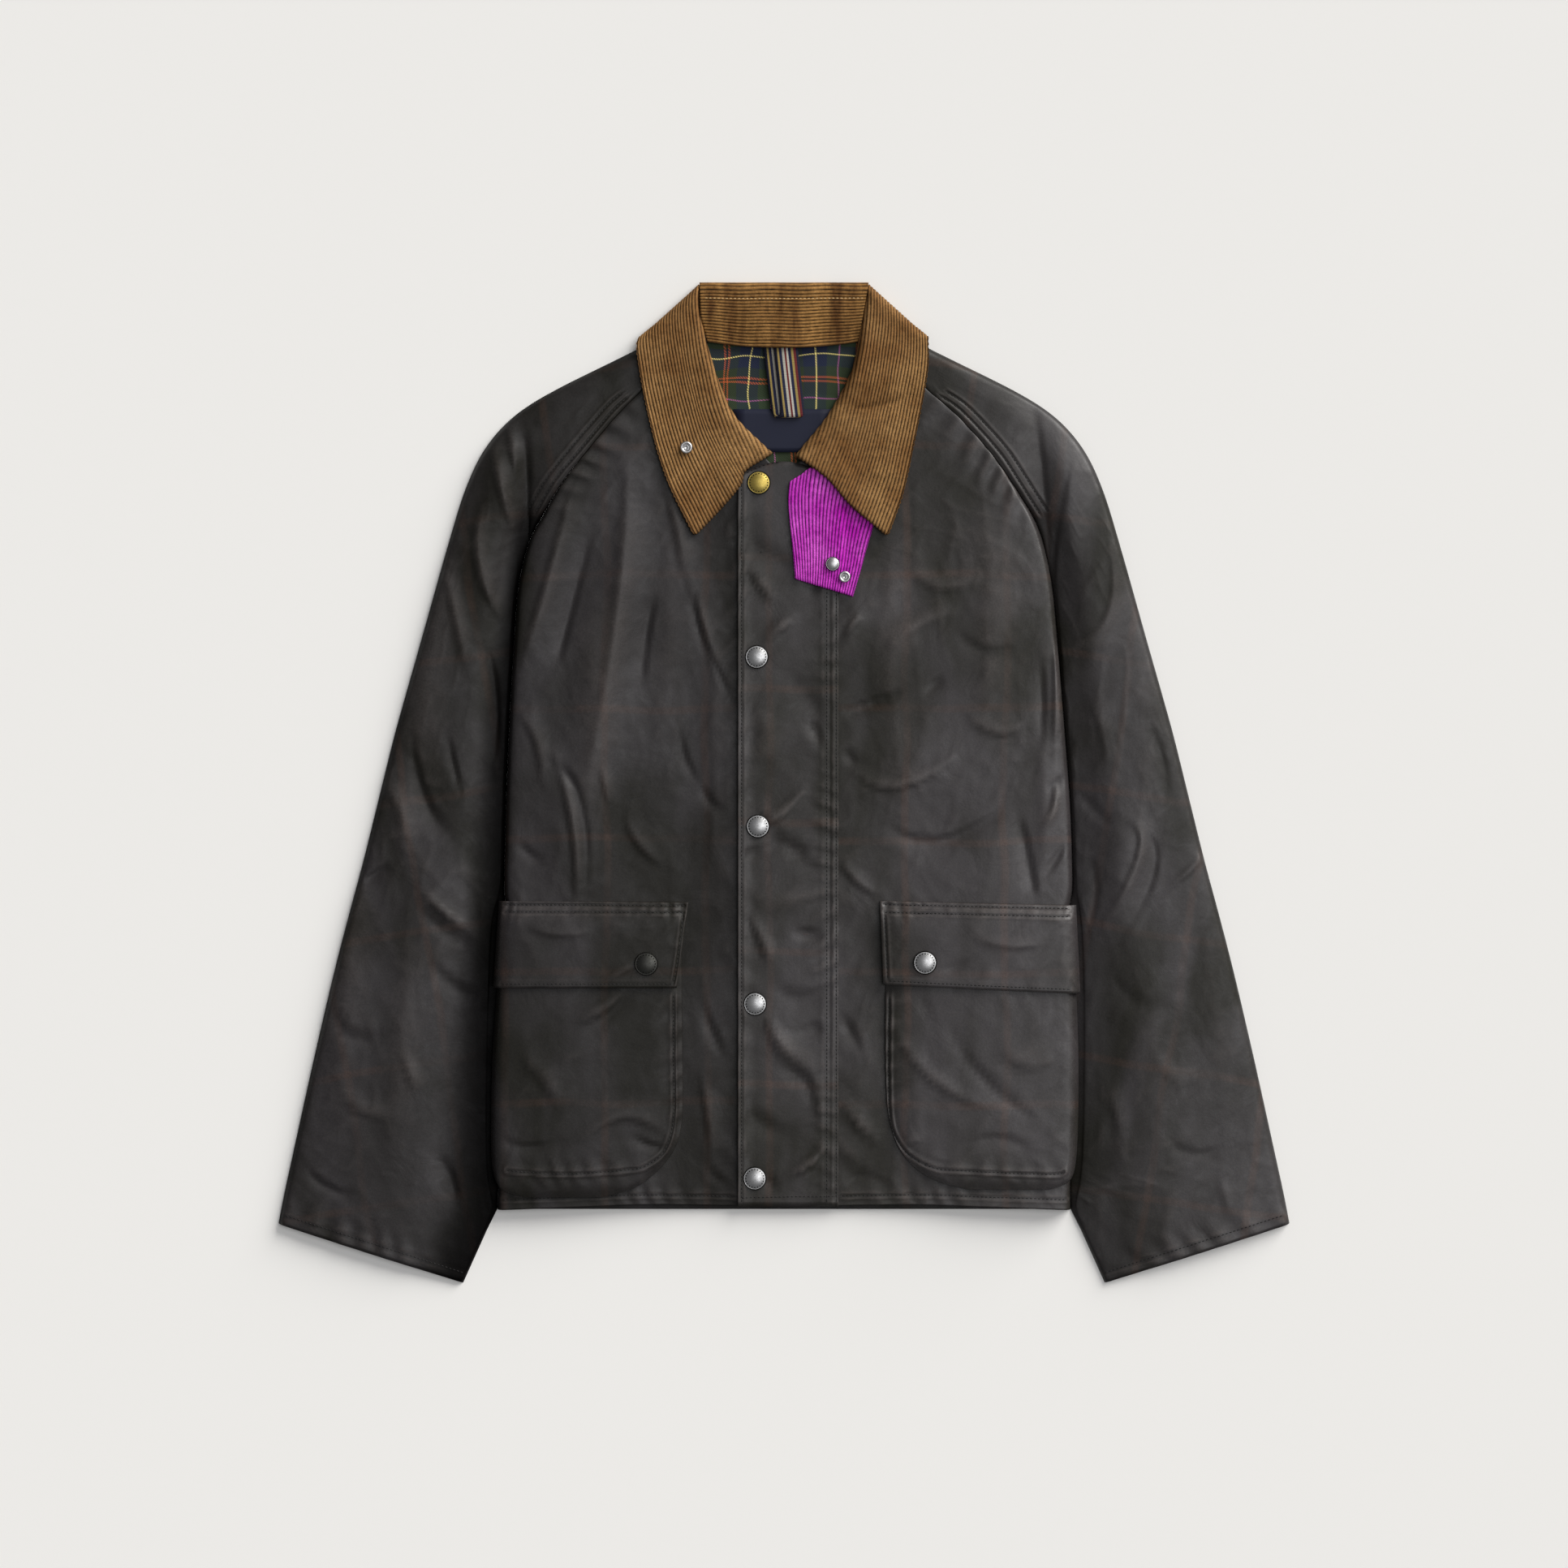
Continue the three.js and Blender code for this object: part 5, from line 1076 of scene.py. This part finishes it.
# Topstitching
# Lockstitch in waxed polyester thread, eight stitches to the inch, each sunk a little into the cloth
# where the needle went through. Rows hold the seams, hems, flaps and pocket bags.
STITCH_PITCH = 3.1 * MM
STITCH_LENGTH = 2.3 * MM
THREAD = 0.38 * MM
# Nearly black: the dark thread's own colour, with painted shade of the needle holes it sinks into.
DARK_THREAD_AND_HOLE_SHADE = "#151312"
PALE_THREAD = "#d0ad78"
SEAM_DEPTH = 0.45 * MM  # how deep a row of stitches draws the cloth in
SEAM_BEAD = {"right_pocket": 0.8 * MM, "left_pocket": 0.8 * MM}  # how high it stands beside the row
PLAIN_BEAD = 0.35 * MM
BEAD_PLACE, BEAD_SPREAD, TROUGH_SPREAD = 2.1, 1.2, 0.9  # millimetres from the row
SEAM_MARGIN = 8 * MM
SEAM_ROWS = {  # millimetres; each row is a list of corners that a smooth line passes through
    "storm_flap_stitches": (("storm_flap",), DARK_THREAD_AND_HOLE_SHADE, (
        ((-33.4, 243), (-33.4, 100), (-33.4, -100), (-33.4, -330)),
        ((33.9, 243), (33.9, 100), (33.9, -100), (33.9, -330)),
        ((41.2, 238), (41.2, 100), (41.2, -100), (41.2, -330)),
        ((-34, -326.4), (0, -325.6), (40.5, -325.4)),
        ((-33, 243.4), (-16, 251.6), (0, 254.6)),
    )),
    "hem_stitches": (("right_front", "left_front"), DARK_THREAD_AND_HOLE_SHADE, (
        ((-222, -327.6), (-160, -325.4), (-110, -324.2), (-39, -325.4)),
        ((45.5, -325), (110, -324), (160, -325.4), (222, -327.4)),
    )),
    "cuff_stitches": (("right_sleeve_front", "left_sleeve_front"), DARK_THREAD_AND_HOLE_SHADE, (
        ((-393.5, -340.3), (-324, -362.5), (-253, -386)),
        ((393.5, -340.3), (324, -362.5), (253, -386)),
    )),
    "raglan_stitches": (("right_sleeve_front", "left_sleeve_front"), DARK_THREAD_AND_HOLE_SHADE, (
        ((-123, 305), (-136, 293), (-161, 263), (-181, 239), (-196, 214)),
        ((-128.5, 308), (-141.5, 296), (-167, 266), (-187, 241), (-201.5, 217)),
        ((123, 306), (140, 294), (168, 263.5), (185, 239), (202, 213)),
        ((128.5, 309), (145.5, 297), (174, 266), (191, 241), (207.5, 216)),
    )),
    "right_pocket_stitches": (("right_pocket",), DARK_THREAD_AND_HOLE_SHADE, (
        ((-87, -166), (-87, -214), (-87, -262), (-93.4, -287.4), (-106.9, -299.5), (-121, -303.4),
         (-172, -306.5), (-218, -304)),
    )),
    "left_pocket_stitches": (("left_pocket",), DARK_THREAD_AND_HOLE_SHADE, (
        ((82.9, -168), (82.4, -227.2), (84.2, -266.9), (92.4, -285.4), (102.6, -295), (117.8, -302.1),
         (135, -304), (208, -307), (220, -305)),
    )),
    "pocket_flap_stitches": (("right_pocket_flap", "left_pocket_flap"), DARK_THREAD_AND_HOLE_SHADE, (
        ((-220, -95), (-150, -95.2), (-78.5, -96)),
        ((-220, -100.6), (-150, -100.8), (-79, -101.4)),
        ((-79.6, -104), (-84, -140), (-87, -156)),
        ((-87.5, -157.4), (-150, -157.3), (-222, -157.2)),
        ((79, -95), (150, -96.4), (224, -98)),
        ((79, -101.2), (150, -102.6), (224, -104.4)),
        ((79.3, -104), (80.6, -130), (81.6, -153)),
        ((82.5, -154.9), (150, -158.2), (225, -161.4)),
    )),
    "collar_stitches": (("collar_stand",), PALE_THREAD, (
        ((-63, 383), (-20, 382.6), (20, 382.8), (63, 383)),
    )),
}


def thread_material(name, colour):
    """Bonded polyester thread, dulled by wax: two plies that show as a fine twist."""
    material, tree, shader = new_material(name)
    place = add_node(tree, "ShaderNodeTexCoord").outputs["Object"]
    twist = add_node(tree, "ShaderNodeTexWave", {"Vector": place, "Scale": 520.0}, bands_direction="DIAGONAL")
    plies = add_node(tree, "ShaderNodeBump", {"Height": twist.outputs["Fac"], "Strength": 0.5, "Distance": 0.1 * MM})
    tree.links.new(plies.outputs["Normal"], shader.inputs["Normal"])
    shader.inputs["Base Color"].default_value = linear(colour)
    shader.inputs["Roughness"].default_value = 0.6
    shader.inputs["Specular IOR Level"].default_value = 0.3
    return material


def press_seams(node, rows):
    """Draws a panel's cloth down along its rows of stitches. It stands up and rubs pale just beside them."""
    lines = []
    for corners in rows:
        length = np.linalg.norm(np.diff(np.array(corners) * MM, axis=0), axis=1).sum()
        lines.append(curve_through(corners, np.linspace(0, 1, int(length / MM))))
    samples = np.concatenate(lines)
    nearest = KDTree(len(samples))
    for i, (x, y) in enumerate(samples):
        nearest.insert((x, y, 0), i)
    nearest.balance()
    mesh = panels[node].data
    points = read_points(mesh)
    low, high = samples.min(0) - SEAM_MARGIN, samples.max(0) + SEAM_MARGIN
    near = np.flatnonzero(((points[:, :2] > low) & (points[:, :2] < high)).all(1))
    away = np.array([nearest.find((x, y, 0))[2] for x, y in points[near, :2]]) / MM
    beside = np.exp(-((away - BEAD_PLACE) / BEAD_SPREAD) ** 2)
    above_table = smooth_share(points[near, 2], 1 * MM, 3 * MM)
    bead = SEAM_BEAD.get(node, PLAIN_BEAD)
    pressed = np.exp(-(away / TROUGH_SPREAD) ** 2)
    points[near, 2] += (bead * beside - SEAM_DEPTH * pressed) * above_table
    write_points(mesh, points)
    proud = np.empty(len(points), np.float32)
    mesh.attributes["proud"].data.foreach_get("value", proud)
    proud[near] += 0.35 * beside - 0.4 * np.exp(-away ** 2)
    mesh.attributes["proud"].data.foreach_set("value", np.clip(proud, 0, 1).astype(np.float32))


def sewn_rows(name, supports, rows):
    """All the stitches of some rows as one mesh, lying on the topmost of the supporting pieces."""
    surface = face_tree(*(panels[node].data for node in supports))
    mesh = bpy.data.meshes.new(name)
    for corners in rows:
        bm = bmesh.new()
        length = np.linalg.norm(np.diff(np.array(corners) * MM, axis=0), axis=1).sum()
        line = curve_through(corners, np.linspace(0, 1, max(int(length / STITCH_PITCH), 2)))
        for start, end in zip(line, line[1:]):
            middle = Vector((*((start + end) / 2), 0.1))
            hit, normal, _, _ = surface.ray_cast(middle, Vector((0, 0, -1)))
            if not hit:
                continue
            along = Vector((*(end - start), 0)).normalized()
            along = (along - normal * along.dot(normal)).normalized()
            across = normal.cross(along)
            placed = Matrix((across, normal, along)).transposed().to_4x4()
            placed.translation = hit + normal * 0.2 * THREAD
            sized = Matrix.Diagonal((THREAD, THREAD, STITCH_LENGTH / 2, 1))
            bmesh.ops.create_uvsphere(bm, u_segments=6, v_segments=5, radius=1.0, matrix=placed @ sized)
        bmesh.ops.recalc_face_normals(bm, faces=bm.faces)
        bm.from_mesh(mesh)
        bm.to_mesh(mesh)
        bm.free()
    mesh.shade_smooth()
    return link_mesh(name, mesh)


threads = {}
for supports, colour, rows in SEAM_ROWS.values():
    for node in supports:
        if node != "collar_stand":
            press_seams(node, rows)
for name, (supports, colour, rows) in SEAM_ROWS.items():
    stitches = sewn_rows(f"jacket_{name}", supports, rows)
    threads.setdefault(colour, thread_material(f"waxed_thread_{len(threads)}", colour))
    stitches.data.materials.append(threads[colour])
    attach(stitches, "root")


bpy.context.view_layer.update()
low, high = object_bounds()
